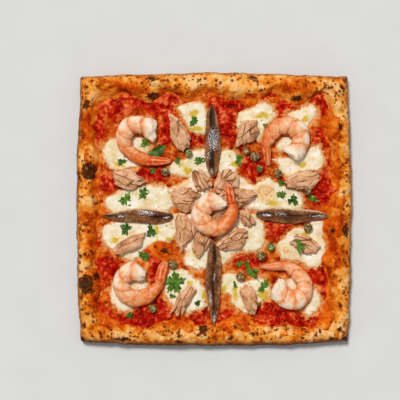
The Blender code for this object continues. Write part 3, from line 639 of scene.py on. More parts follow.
def crustMaterial():
    # Baked wheat dough: a dry skin, golden brown, lighter on its puffs and lumps with painted
    # highlight and darker in the hollows with painted shade, stained orange and red where oil and
    # tomato soaked in, freckled and charred where the oven's heat caught it; painted light and
    # shade on the inner slope and the outer side.
    material, node, place, stained, char, lump, puff, pale, outer, glow, *noises = startMaterial(
        "bakedDough", "stained char lump puff pale outer glow",
        doughNoises + ((13, 3, 0.5), (2.6, 4, 0.6)))
    broad, middling, fine, patches, flecks = noises
    # golden brown skin, orange where oily, tan where dry; lighter on puffs and raised lumps, a
    # painted highlight, darker in the hollows, painted shade, and painted light on the rear slope
    lit = weigh(node, broad, (middling, 1.1), (fine, 0.6))
    lit = weigh(node, lit, (puff, 0.2), (lump, 0.25), (pale, 0.09), (glow, 0.1))
    lit = node("MapRange", {0: lit, 1: 0.95, 2: 1.95})
    skin = node("ValToRGB", {0: lit}, stops=[
        (0.05, "#8A3004"), (0.18, "#BA5208"), (0.32, "#DA6C12"), (0.46, "#EE8E2C"), (0.62, "#F6AC50"),
        (0.84, "#FBC684")])
    # orange and red stain of oil and tomato towards the sauce
    stain = weigh(node, stained, (broad, 1.0), (middling, 0.8), (puff, -0.25))
    # the inner slope painted more orange towards the rear, standing in for light on a slope in shade
    oily = node("Math", {0: glow, 1: 0.0}, operation="MAXIMUM")
    oily = weigh(node, stain, (oily, 1.0), (pale, -0.4))
    skin = layOver(node, skin, node("ValToRGB", {0: lit}, stops=soakedDough), oily, 1.05, 1.7, 0.95)
    skin = layOver(node, skin, "#A82A02", stain, 1.75, 2.2, 0.8)
    # brown freckles: one in each warped cell, of random size, in patches
    warp = node("TexNoise", {"Vector": place, "Scale": 1 / (2.2 * mm), "Detail": 2}, output=1)
    warp = node("VectorMath", {0: warp, 3: 1.5 * mm}, operation="SCALE")
    warp = node("VectorMath", {0: place, 1: warp}, operation="ADD")
    # fewer freckles where stained and where the slope is painted lighter, more where pale
    patches = weigh(node, patches, (stained, -0.08), (glow, -0.06), (pale, 0.04))
    patches = node("MapRange", {0: patches, 1: 0.34, 2: 0.54})
    for size, reach, strength in ((3.8 * mm, 0.62, 0.8), (7 * mm, 0.34, 0.9)):
        cells = {"Vector": warp, "Scale": 1 / size}
        distance = node("TexVoronoi", cells)
        random = node("SeparateColor", {0: node("TexVoronoi", cells, output=1)})
        radius = node("Math", {0: random, 1: patches}, operation="MULTIPLY")
        freckle = weigh(node, distance, (radius, -reach))
        skin = layOver(node, skin, "#B04C10", freckle, 0.1, -0.04, 0.4)
        skin = layOver(node, skin, "#6E2008", freckle, 0.05, -0.12, strength)
    # the outer side darker as it turns down, deepest at the front: browner crust with painted shade
    side = node("Math", {0: outer, 1: 0.6}, operation="MULTIPLY")
    skin = blend(node, side, skin, [(0.55, "#8A4410"), (0.95, "#542208")])
    # char: a brown scorch, broken up, round a near-black middle
    flecks = node("MapRange", {0: flecks, 1: 0.34, 2: 0.66}, clamp=False)
    burn = node("Math", {0: char, 1: 1.9}, operation="MULTIPLY")
    burnt = rise(node, weigh(node, burn, (flecks, 2.1)), 1.1, 3.6)
    coal = node("ValToRGB", {0: burnt}, stops=[
        (0.0, "#AE4C0A"), (0.25, "#883410"), (0.55, "#58240E"), (0.95, "#26120A")])
    cover = node("MapRange", {0: burnt, 1: 0.0, 2: 0.45, 3: 0.0, 4: 0.95})
    return closeMaterial(material, node, {
        "Base Color": blend(node, cover, skin, coal), "Roughness": 0.55,
        "Specular IOR Level": 0.1, "Specular Tint": "#FFC080",
        "Subsurface Weight": 0.05, "Subsurface Radius": (0.9, 0.5, 0.25), "Subsurface Scale": 2 * mm,
    }, bump=(0.8, 0.9, fine))


puffs = [puffShape(spec, 3 * number) for number, spec in enumerate(doughPuffs)]
addPiece("bakedCrust", joinShapes([crustShape()] + puffs), crustMaterial(), ["crust"])
print("crust")


# Sauce and cheese, as heights over the well

bed = {
    "sauceHeight": 11.0 * mm, "clumpRise": 2.4 * mm, "clumpSize": 7.5 * mm,
    "sauceBottom": 7.9 * mm, "sauceReach": 15 * mm,  # how far the sauce's grid runs on under the rim
    "cheeseHeight": 12.7 * mm, "cheeseThin": 3.2 * mm, "cheeseBottom": 9.2 * mm,
    "meltSpread": 1.7 * mm, "meltEdge": -2.6 * mm, "blisterRise": 0.35 * mm, "swellRise": 0.4 * mm,
    "edgeDip": 3 * mm,  # how deep the sauce goes under the crust past its edge
    "hiddenFrom": 14 * mm, "hiddenTop": 12 * mm,  # well out under the rim it stays below that height
    "meltFade": 8 * mm, "oilEdge": 2 * mm, "brownEdge": 4 * mm,
    "sauceStep": 0.86 * mm, "cheeseStep": 0.8 * mm,
}

# Clumps of crushed tomato: middle x and y, half length and half width in mm
sauceClumps = (
    (-121.1, 81.6, 8, 18), (-101.6, 104.1, 12, 10), (-79, 112.3, 15, 9), (-48.2, 108.2, 11, 14),
    (13.3, 93.9, 15, 18), (4.1, 109.3, 10, 8), (55.4, 117.5, 8, 7), (71.8, 102.1, 10, 10),
    (108.8, 111.3, 8, 10), (109.8, 74.4, 7, 10), (113.9, 45.7, 5, 6), (110.8, 18, 13, 14),
    (-109.8, 27.2, 10, 8), (-112.9, -61, 11, 12), (-123.1, -94.9, 6, 4), (-111.8, -109.3, 7, 8),
    (-57.5, 38.5, 16, 8), (-17.4, 68.2, 8, 8), (41, 39.5, 12, 15), (65.7, -24.1, 14, 9),
    (31.8, -52.8, 18, 8), (-60.5, -64.1, 6, 17), (-74.9, -114.4, 25, 9), (-17.4, -111.3, 9, 7),
    (12.3, -111.3, 6, 8), (77, -115.4, 31, 9), (105.7, -74.4, 9, 17), (24.6, 69.3, 8, 10),
    (-117, -31.3, 6, 5), (110.8, -19, 6, 5), (-65.7, -101.1, 10, 6), (58.5, -103.1, 16, 6),
    (-24.6, -92.9, 6, 8), (-86.2, -92.9, 6, 5), (-47.2, 75.4, 8, 12),
)

# Outlines of the puddles of melted cheese by quarter, corners in mm
cheeseOutlines = {
    "mozzarella_rear_left": (
        ((-113, 62), (-110, 68), (-107, 71), (-102, 71), (-91, 74), (-81, 74), (-73, 73), (-67, 65),
         (-68, 59), (-75, 53), (-77, 47), (-80, 43), (-88, 42), (-99, 40), (-106, 43), (-110, 49),
         (-114, 56)),
        ((-38, 103), (-33, 107), (-26, 109), (-17, 110), (-11, 107), (-8, 100), (-7, 90), (-8, 80),
         (-13, 77), (-20, 79), (-25, 84), (-29, 92), (-34, 98)),
        ((-23, 60), (-17, 61), (-11, 61), (-6, 58), (-5, 48), (-6, 38), (-11, 35), (-20, 35),
         (-24, 33), (-30, 34), (-38, 35), (-44, 38), (-45, 44), (-41, 48), (-33, 51), (-27, 53),
         (-25, 57)),
        ((-46, 20), (-20, 34), (-6, 38), (-2, 20), (-16, 4), (-43, 3)),
        ((-112, 11), (-107, 13), (-101, 14), (-96, 19), (-86, 22), (-76, 23), (-70, 26), (-61, 24),
         (-53, 23), (-47, 21), (-44, 14), (-43, 3), (-50, -4), (-66, -4), (-86, -4), (-103, -3),
         (-108, 1), (-111, 6)),
    ),
    "mozzarella_rear_right": (
        ((23, 91), (26, 99), (33, 102), (41, 105), (46, 109), (53, 109), (59, 105), (62, 97),
         (59, 90), (53, 84), (49, 75), (45, 71), (40, 75), (37, 82), (30, 84), (24, 85)),
        ((75, 97), (81, 102), (88, 102), (94, 106), (101, 107), (105, 103), (105, 97), (101, 91),
         (96, 85), (88, 86), (80, 90)),
        ((65, 64), (68, 71), (74, 74), (80, 72), (81, 65), (74, 60), (67, 60)),
        ((60, 51), (68, 53), (78, 53), (88, 53), (92, 57), (99, 64), (107, 65), (110, 59),
         (112, 51), (111, 44), (106, 40), (97, 39), (88, 38), (83, 34), (76, 32), (71, 36),
         (66, 44)),
        ((41, 18), (43, 25), (49, 30), (55, 32), (64, 28), (69, 26), (74, 22), (84, 20), (89, 16),
         (92, 9), (91, 3), (83, -4), (63, -4), (49, -3), (42, 1), (39, 10)),
        ((5, 37), (20, 37), (44, 22), (41, 0), (20, 6), (2, 20)),
        ((5, 53), (7, 59), (12, 62), (18, 60), (25, 54), (24, 47), (23, 39), (18, 34), (11, 32),
         (5, 37)),
    ),
    "mozzarella_front_left": (
        ((-115, -22), (-111, -17), (-104, -13), (-91, -11), (-76, -11), (-61, -11), (-45, -12),
         (-38, -19), (-40, -28), (-47, -33), (-55, -33), (-64, -34), (-69, -40), (-74, -43),
         (-76, -49), (-83, -53), (-91, -51), (-95, -46), (-103, -42), (-109, -37), (-114, -30)),
        ((-107, -83), (-104, -76), (-94, -72), (-83, -71), (-71, -73), (-68, -80), (-74, -87),
         (-82, -96), (-85, -103), (-91, -105), (-98, -102), (-103, -96), (-106, -90)),
        ((-49, -81), (-48, -70), (-44, -64), (-38, -61), (-30, -62), (-23, -66), (-15, -73),
         (-10, -82), (-9, -91), (-7, -99), (-14, -102), (-22, -104), (-29, -106), (-39, -101),
         (-46, -93), (-50, -87)),
        ((-44, -4), (-18, -4), (-6, -26), (-2, -42), (-14, -50), (-34, -40), (-46, -14)),
        ((-31, -51), (-28, -45), (-23, -41), (-14, -41), (-6, -43), (-5, -54), (-8, -61),
         (-15, -62), (-23, -60), (-29, -57)),
    ),
    "mozzarella_front_right": (
        ((33, -19), (37, -12), (44, -10), (50, -14), (52, -22), (51, -29), (52, -34), (47, -40),
         (40, -43), (33, -44), (29, -40), (31, -32), (32, -25)),
        ((2, -42), (6, -26), (20, -4), (44, -6), (42, -22), (34, -40), (14, -48)),
        ((2, -37), (9, -40), (16, -43), (19, -47), (15, -52), (10, -58), (5, -55), (2, -47)),
        ((72, -28), (76, -23), (83, -19), (90, -19), (97, -18), (99, -12), (105, -11), (112, -13),
         (111, -21), (111, -29), (114, -37), (114, -44), (110, -54), (105, -59), (98, -59),
         (91, -55), (84, -52), (76, -52), (69, -49), (65, -42), (66, -34)),
        ((8, -76), (9, -68), (15, -65), (23, -68), (30, -73), (37, -72), (45, -70), (52, -72),
         (57, -80), (58, -89), (51, -94), (44, -97), (38, -104), (31, -106), (25, -102), (19, -96),
         (17, -88), (11, -86)),
        ((74, -73), (80, -69), (85, -73), (86, -82), (78, -85), (73, -80)),
        ((99, -81), (106, -82), (108, -90), (107, -98), (104, -105), (97, -109), (91, -108),
         (92, -101), (97, -93)),
    ),
}
allPuddles = [outline for puddles in cheeseOutlines.values() for outline in puddles]

# Pools of olive oil and browned blisters on the cheese
oilPools = (
    (-17.4, 82.6, 8, 2.6), (-20.5, 98, 4, 4), (-32.8, 44.6, 4, 3), (-26.7, 38.5, 4, 4),
    (-97.5, 44.6, 6.5, 2.6), (-101.6, -31.3, 5, 3.2), (-58.5, -21, 2.4, 9), (-24.6, -75.4, 3, 3),
    (-11.3, -87.7, 2.6, 3.6), (-20.5, -45.7, 3, 3), (49.2, 95.9, 8, 3), (91.3, 45.7, 3.6, 3),
    (59.5, 6.7, 6.5, 3), (50.3, -87.7, 7, 5), (21.5, -84.6, 2.6, 9), (10.3, -81.6, 2.6, 4.5),
    (93.4, -25.1, 4, 3), (44.1, 81.6, 3, 3), (-45.1, -31.3, 3, 3), (21.5, 45.7, 4, 3),
    (93.4, 91.8, 4, 3),
)
brownedPatches = (
    (-35.9, 29.2, 11, 6), (-65.7, 6.7, 4, 3), (51.5, 17, 13, 12.5), (58.5, 52.8, 5, 4),
    (90.3, -39.5, 5, 4), (73.5, -42, 7, 7), (-106.7, 59, 4, 3), (88.2, -82.6, 6, 5),
    (-8.2, 32.3, 6, 5), (26.7, -0.5, 4, 4), (-29.8, 13.9, 6, 4), (-65.7, 50.8, 4, 4),
    (104.7, 89.8, 4, 5), (101.6, 50.8, 4, 3), (47.2, -31.3, 6, 4), (68.7, -60, 5, 4),
    (-91.3, -53.9, 5, 3), (15.4, -103.1, 6, 4), (31.8, -98, 5, 3),
)


def meltDepth(x, y, puddles):
    # How far inside the melted cheese, in metres, with a flowing edge.
    ragged = 1.6 * mm * fractalNoise(x, y, 0, 9 * mm, 31, 2)
    ragged = ragged + 1.2 * mm * fractalNoise(x, y, 0, 3.5 * mm, 33, 3)
    return insideOutlines(x, y, puddles) + ragged + bed["meltSpread"]


def sauceHeight(x, y):
    # Rounded lumps of three sizes, higher in the clumps, over whichever is higher of the flat bed
    # and the rim's slope; past its edge the sauce dips under the crust.
    ragged = 8 * mm * fractalNoise(x, y, 0, 11 * mm, 37, 4)
    clump = smoothStep(-5 * mm, 4 * mm, insideOvals(x, y, sauceClumps) + 1 * mm + ragged)
    wanderX = x + 2 * mm * smoothNoise(x, y, 0, 4 * mm, 45)
    wanderY = y + 2 * mm * smoothNoise(x, y, 5, 4 * mm, 46)
    large, small = (
        np.clip(1 - 1.5 * cellDistance(wanderX, wanderY, bed["clumpSize"] * size, seed)[0] ** 2, 0, 1)
        for size, seed in ((1.0, 5), (0.5, 6)))
    mixing = smoothStep(-0.5, 0.5, smoothNoise(x, y, 9, 10 * mm, 48))
    lump = (0.9 * mixing * large + (0.8 - 0.4 * mixing) * small) / 1.1
    lump = lump + 0.45 * fractalNoise(x, y, 7, 5 * mm, 49, 3)
    outside, nearest = squareDistance(x, y)
    beyond = outside - edgeReach(nearest) - 2.5 * mm * fractalNoise(x, y, 0, 9 * mm, 47, 3)
    slope = slopeHeight(x, y)
    fading = smoothStep(-5 * mm, 1 * mm, beyond)
    under = smoothStep(0, 3 * mm, beyond) * smoothStep(0, 1.5 * mm, slope - bed["sauceHeight"])
    bedHeight = np.maximum(bed["sauceHeight"], slope + (0.8 - 0.9 * fading) * mm)
    bedHeight = bedHeight + 0.4 * mm * fractalNoise(x, y, 0, 14 * mm, 41, 2)
    melt = meltDepth(x, y, allPuddles)
    covered = smoothStep(-2 * mm, 2 * mm, melt)
    thickness = (0.3 + 0.7 * clump) * (1 - 0.7 * fading) * (1 - 0.85 * covered)
    height = bedHeight + thickness * lump * bed["clumpRise"] - under * bed["edgeDip"]
    height = np.where(outside > bed["hiddenFrom"], np.minimum(height, bed["hiddenTop"]), height)
    return height, clump, lump, beyond, melt


def cheeseHeight(x, y, puddles):
    # A softly swelling sheet, raised a little where browned and sloping down to its melted edge.
    melt = meltDepth(x, y, puddles)
    swell = bed["swellRise"] * fractalNoise(x, y, 0, 12 * mm, 43, 3)
    swell = swell + 0.3 * mm * fractalNoise(x, y, 0, 3 * mm, 44, 3)
    blisters = bed["blisterRise"] * smoothStep(0, 2 * mm, insideOvals(x, y, brownedPatches))
    thinned = bed["cheeseThin"] * (1 - smoothStep(-2.5 * mm, 3.5 * mm, melt))
    return bed["cheeseHeight"] + swell + blisters - thinned, melt


def sauceShape():
    # A grid of heights over the well with a skirt and a fan below; its outer cells hide in the rim.
    reach, step = bed["sauceReach"], bed["sauceStep"]
    x, y = np.meshgrid(
        np.arange(crust["wellLeft"] - reach, crust["wellRight"] + reach, step),
        np.arange(crust["wellFront"] - reach, crust["wellRear"] + reach, step))
    height, clump, lump, beyond, melt = sauceHeight(x, y)
    index = np.arange(x.size).reshape(x.shape)
    edge = np.concatenate([index[0, :-1], index[:-1, -1], index[-1, :0:-1], index[:0:-1, 0]])
    top = np.stack([x.ravel(), y.ravel(), height.ravel()], axis=-1)
    skirt = top[edge] * np.array([1, 1, 0]) + np.array([0, 0, bed["sauceBottom"]])
    below = len(top) + np.arange(len(edge))
    belowNext = np.roll(below, -1)
    walls = np.stack([edge, below, belowNext, np.roll(edge, -1)], axis=-1)
    fan = np.stack([belowNext, below, np.full(len(edge), len(top) + len(edge))], axis=-1)
    values = {
        "clump": clump, "lump": lump, "melt": np.clip(melt / bed["meltFade"], -1, 1),
        "sloped": smoothStep(-6 * mm, 3 * mm, beyond),
    }
    values = {label: np.pad(v.ravel(), (0, len(edge) + 1)) for label, v in values.items()}
    points = np.concatenate([top, skirt, skirt.mean(axis=0, keepdims=True)])
    return points, [squareCorners(index).reshape(-1, 4), walls, fan], values


def slabShape(x, y, top, bottom, keep, values):
    # Kept squares of a height field, closed below and along every open edge.
    rows, columns = keep.shape
    upper = squareCorners(np.arange(x.size).reshape(x.shape))
    lower = upper + x.size
    faces = [upper[keep], lower[keep][:, ::-1]]
    framed = np.pad(keep, 1)
    for side, (stepRow, stepColumn) in enumerate(((-1, 0), (0, 1), (1, 0), (0, -1))):
        beside = framed[1 + stepRow:1 + stepRow + rows, 1 + stepColumn:1 + stepColumn + columns]
        ends = [(side + 1) % 4, side]
        above, below = upper[keep & ~beside][:, ends], lower[keep & ~beside][:, ends[::-1]]
        faces.append(np.concatenate([above, below], axis=-1))
    points = np.concatenate([np.stack([x, y, z], axis=-1).reshape(-1, 3) for z in (top, bottom)])
    faces = np.concatenate(faces)
    used = np.unique(faces)
    renumber = np.zeros(len(points), int)
    renumber[used] = np.arange(len(used))
    values = {label: np.tile(v.ravel(), 2)[used] for label, v in values.items()}
    return points[used], [renumber[faces]], values


def cheeseShape(puddles):
    # The squares of the cheese's height field that lie inside its melted edge.
    corners = np.concatenate([np.array(outline) for outline in puddles])
    x, y = np.meshgrid(*(
        np.arange((line.min() - 5) * mm, (line.max() + 5) * mm, bed["cheeseStep"])
        for line in corners.T))
    top, melt = cheeseHeight(x, y, puddles)
    inside = melt > bed["meltEdge"]
    keep = inside[:-1, :-1] & inside[:-1, 1:] & inside[1:, 1:] & inside[1:, :-1]
    bottom = np.minimum(bed["cheeseBottom"], top - 0.2 * mm)
    wanderX = x + 2.2 * mm * fractalNoise(x, y, 0, 5 * mm, 51, 3)
    wanderY = y + 2.2 * mm * fractalNoise(x, y, 0, 5 * mm, 52, 3)
    return slabShape(x, y, top, bottom, keep, {
        "melt": np.clip(melt / bed["meltFade"], -1, 1),
        "oil": inSpots(wanderX, wanderY, oilPools, bed["oilEdge"]),
        "browned": inSpots(wanderX, wanderY, brownedPatches, bed["brownEdge"]),
    })


def sauceMaterial():
    # Crushed tomato cooked down with oil: wet lumps, deep red in the hollows with painted shade,
    # lighter on their tops with painted highlight, orange where oily.
    material, node, _, clump, lump, melt, sloped, mottle, fine, *doughFields = startMaterial(
        "crushedTomato", "clump lump melt sloped", ((5, 4, 0.55), (1.3, 3, 0.5)) + doughNoises)
    # the tone follows the lumps' height: painted shade in the hollows, painted highlight on the tops
    tone = weigh(node, mottle, (lump, 0.5), (fine, 0.5))
    tone = node("MapRange", {0: tone, 1: 0.55, 2: 1.45})
    red = node("ValToRGB", {0: tone}, stops=[
        (0.1, "#560100"), (0.35, "#8E0300"), (0.55, "#B00C00"), (0.75, "#CA2C08"), (0.95, "#E87644")])
    oily = node("ValToRGB", {0: tone}, stops=[
        (0.1, "#701000"), (0.33, "#A42C02"), (0.53, "#C44C06"), (0.73, "#DA741C"), (0.95, "#F2B068")])
    colour = layOver(node, oily, red, weigh(node, clump, (mottle, 2.4)), 1.12, 1.85)
    # milky where the cheese runs into it
    milky = weigh(node, melt, (mottle, 2.4), (tone, 0.6))
    curdled = [(0.1, "#CC5412"), (0.5, "#DA7A34"), (0.9, "#E29A58")]
    colour = layOver(node, colour, curdled, milky, 0.95, 1.75, 0.9)
    # thin and baked on where it rides up the crust
    broad, middling, small = doughFields
    lit = weigh(node, broad, (middling, 1.1), (small, 0.6))
    lit = node("MapRange", {0: lit, 1: 0.95, 2: 1.85})
    baked = weigh(node, sloped, (mottle, 1.4), (clump, -0.35))
    colour = layOver(node, colour, node("ValToRGB", {0: lit}, stops=soakedDough), baked, 0.85, 1.4)
    return closeMaterial(material, node, {
        "Base Color": colour, "Roughness": 0.2, "Specular IOR Level": 0.17,
        "Specular Tint": "#FFB888",  # the film of oil is orange
    }, bump=(0.6, 0.5, fine))


def cheeseMaterial():
    # Melted mozzarella: smooth milky curd, thin and orange at its edges, with golden oil pools.
    material, node, _, melt, oil, browned, broad, mottle, tint = startMaterial(
        "meltedMozzarella", "melt oil browned", ((11, 4, 0.5), (3.4, 6, 0.6), (7, 6, 0.7)))
    colour = node("ValToRGB", {0: broad}, stops=[
        (0.32, "#E4CE96"), (0.42, "#EEDCB0"), (0.53, "#F5E8CA"), (0.68, "#FBF3E0")])
    # peach where a little tomato and oil came through
    colour = layOver(node, colour, "#DDB484", tint, 0.53, 0.70, 0.75)
    # orange and soaked with tomato towards its thin edge
    thin = weigh(node, melt, (mottle, -1.5), (broad, -1.0))
    soaked = [(0.0, "#EED4AA"), (0.5, "#EABA84"), (0.95, "#E29A58")]
    colour = layOver(node, colour, soaked, thin, -0.66, -1.22)
    # browned places: tan, freckled brown
    colour = layOver(node, colour, "#F0C684", weigh(node, browned, (mottle, 2.4)), 1.0, 2.4, 0.9)
    colour = layOver(node, colour, "#D07C2C", weigh(node, browned, (mottle, 4.0)), 2.85, 3.6, 0.8)
    # pools of golden oil
    pool = rise(node, weigh(node, oil, (mottle, 2.6)), 0.5, 2.1, 0.92)
    colour = blend(node, pool, colour, [(0.1, "#E4D888"), (0.55, "#E0C43C"), (0.9, "#D8AE12")])
    return closeMaterial(material, node, {
        "Base Color": colour, "Roughness": node("MapRange", {0: pool, 3: 0.4, 4: 0.14}),
        "Subsurface Weight": 0.1, "Subsurface Radius": (1.0, 0.8, 0.5), "Subsurface Scale": 1.5 * mm,
        "Specular IOR Level": 0.3,
    }, bump=(0.35, 0.5, mottle))


addPiece("tomatoSauce", sauceShape(), sauceMaterial(), ["tomato_sauce"])
meltedMozzarella = cheeseMaterial()
for node, puddles in cheeseOutlines.items():
    addPiece(pieceName(node), cheeseShape(puddles), meltedMozzarella, [node])
print("sauce and cheese")


# Shrimps

shrimp = {
    "thick": 12.5 * mm, "tailThick": 4.5 * mm, "segments": 6,
    "base": 12.8 * mm, "middleBase": 17 * mm, "sunk": 0.9 * mm,
    "torn": 3.4 * mm, "pulled": 3.6 * mm,  # how far the flesh is torn across and along the head end
    "tailSplit": 9 * mm, "grainRise": 0.25 * mm, "collar": 0.08, "ribs": 0.09,
    "tailSlim": 0.40, "notch": 0.12,  # how much less at the tail, and at a joint on the belly side
    "bodyRows": 176, "tailRows": 64, "columns": 64,
}

# For each shrimp: how many stations its body has, how rosy it is, then stations from the head end
# to the tail tip, in mm: middle x and y, and the half width from belly to back as x and y
shrimpPlaces = {
    "shrimp_rear_left": (
        11, 1, (-59.8, 79.8, 1.8, 10.5), (-68.2, 83.1, 1.5, 10.8), (-75.7, 86.2, -1.3, 9.2),
        (-83.6, 85.9, -3.6, 9), (-89, 81.6, -6.4, 7.2), (-91.6, 75.4, -8, 4.1),
        (-91.8, 69, -8.2, 1.3), (-89.8, 63.4, -7.7, -1.3), (-84.1, 58.2, -7.2, -3.3),
        (-76.7, 53.4, -6.4, -4.6), (-69.8, 50.3, -4.1, -5.1), (-61.6, 49.5, -2.1, -4.9),
        (-52.8, 49.2, -0.5, -4.1), (-44.1, 49.5, 0, -2.3),
    ),
    "shrimp_rear_right": (
        11, 0.7, (78.2, 54.4, 9.5, -4.6), (83.9, 61.6, 9.5, -3.6), (87.7, 68.2, 9.7, 0),
        (88.2, 74.6, 9.2, 2.8), (85.7, 80.8, 8.2, 5.9), (79.8, 84.9, 5.4, 8), (72.3, 85.9, 1.5, 9),
        (65.4, 83.6, -1.8, 8.7), (59.8, 78.5, -3.8, 7.2), (55.7, 72.8, -4.9, 5.1),
        (53.1, 66.7, -4.9, 2.6), (53.4, 60, -4.6, 1), (54.1, 52.6, -3.8, 0.3),
        (55.1, 44.6, -2.3, 0),
    ),
    "shrimp_front_left": (
        14, 0.75, (-70, -66.9, 0.3, 4.9), (-76.2, -64.9, 0.3, 8), (-82.3, -63.1, 0.3, 10.3),
        (-87.7, -64.6, -1.5, 9.7), (-91.3, -67.2, -4.6, 8.2), (-93.6, -72.3, -8, 5.1),
        (-93.9, -78, -9.7, 1.5), (-91.1, -83.4, -10, -2.3), (-86.4, -87.5, -9, -5.9),
        (-80.3, -89.5, -6.4, -8.5), (-73.9, -89.5, -3.1, -9.5), (-66.9, -87.2, 0.3, -8.7),
        (-60.8, -82.3, 2.8, -5.9), (-56.4, -76.4, 4.1, -3.1), (-54, -66.7, 4.7, -2.6),
        (-51.9, -59.3, 4.7, -1.8), (-49.4, -52.8, 3, -1),
    ),
    "shrimp_front_right": (
        13, 0.3, (63.1, -75.9, -5.6, -6.7), (66.2, -82.3, -7.2, -8.5), (70.5, -87.5, -4.9, -10),
        (75.7, -90.8, -1.8, -10.8), (80.8, -91.8, 1.3, -10.8), (85.9, -90.5, 4.4, -9.5),
        (90, -86.2, 6.9, -6.7), (92.3, -80.5, 8.2, -3.1), (91.6, -74.4, 8.5, 0.5),
        (88, -68.7, 7.4, 3.1), (82.8, -63.9, 5.4, 4.9), (77.5, -59.8, 2.6, 5.4),
        (72.1, -58, 0.3, 4.6), (63.6, -57.7, 0, 4.4), (55.4, -58.2, 0, 3.3), (46.7, -58.5, 0, 1.5),
    ),
    "shrimp_middle": (
        15, 1, (11.8, 4.9, -0.5, 3.3), (5.9, 6.7, -0.3, 6.7), (-0.8, 8.1, -1.3, 10.1),
        (-5.9, 6.6, -3.3, 10.4), (-9.7, 2.8, -6.2, 8), (-12.5, -2.3, -9.1, 4.4),
        (-12.8, -7.4, -10.8, 0.8), (-10.5, -13, -10, -3.4), (-5.4, -17.4, -6.9, -6.7),
        (0.3, -19.3, -3.3, -7.9), (5.9, -18.5, 0.3, -7.7), (11.5, -14.6, 3.8, -5.9),
        (15.9, -8.5, 6.2, -3.3), (18.5, -1.8, 6.2, -0.8), (19.2, 3.6, 4.9, 0), (16.9, 10.8, 4.6, 0),
        (15.4, 19, 4.6, 0), (14.4, 26.2, 2.6, 0),
    ),
}


def throughStations(stations, places):
    # A Catmull-Rom curve: between two stations, the cubic set by them and their neighbours.
    ends = np.vstack([2 * stations[0] - stations[1], stations, 2 * stations[-1] - stations[-2]])
    index = np.minimum(np.floor(places).astype(int), len(stations) - 2)
    t = (places - index)[:, None]
    before, start, end, after = (ends[index + step] for step in range(4))
    return 0.5 * (
        2 * start + (end - before) * t + (2 * before - 5 * start + 4 * end - after) * t ** 2
        + (3 * start - before - 3 * end + after) * t ** 3)


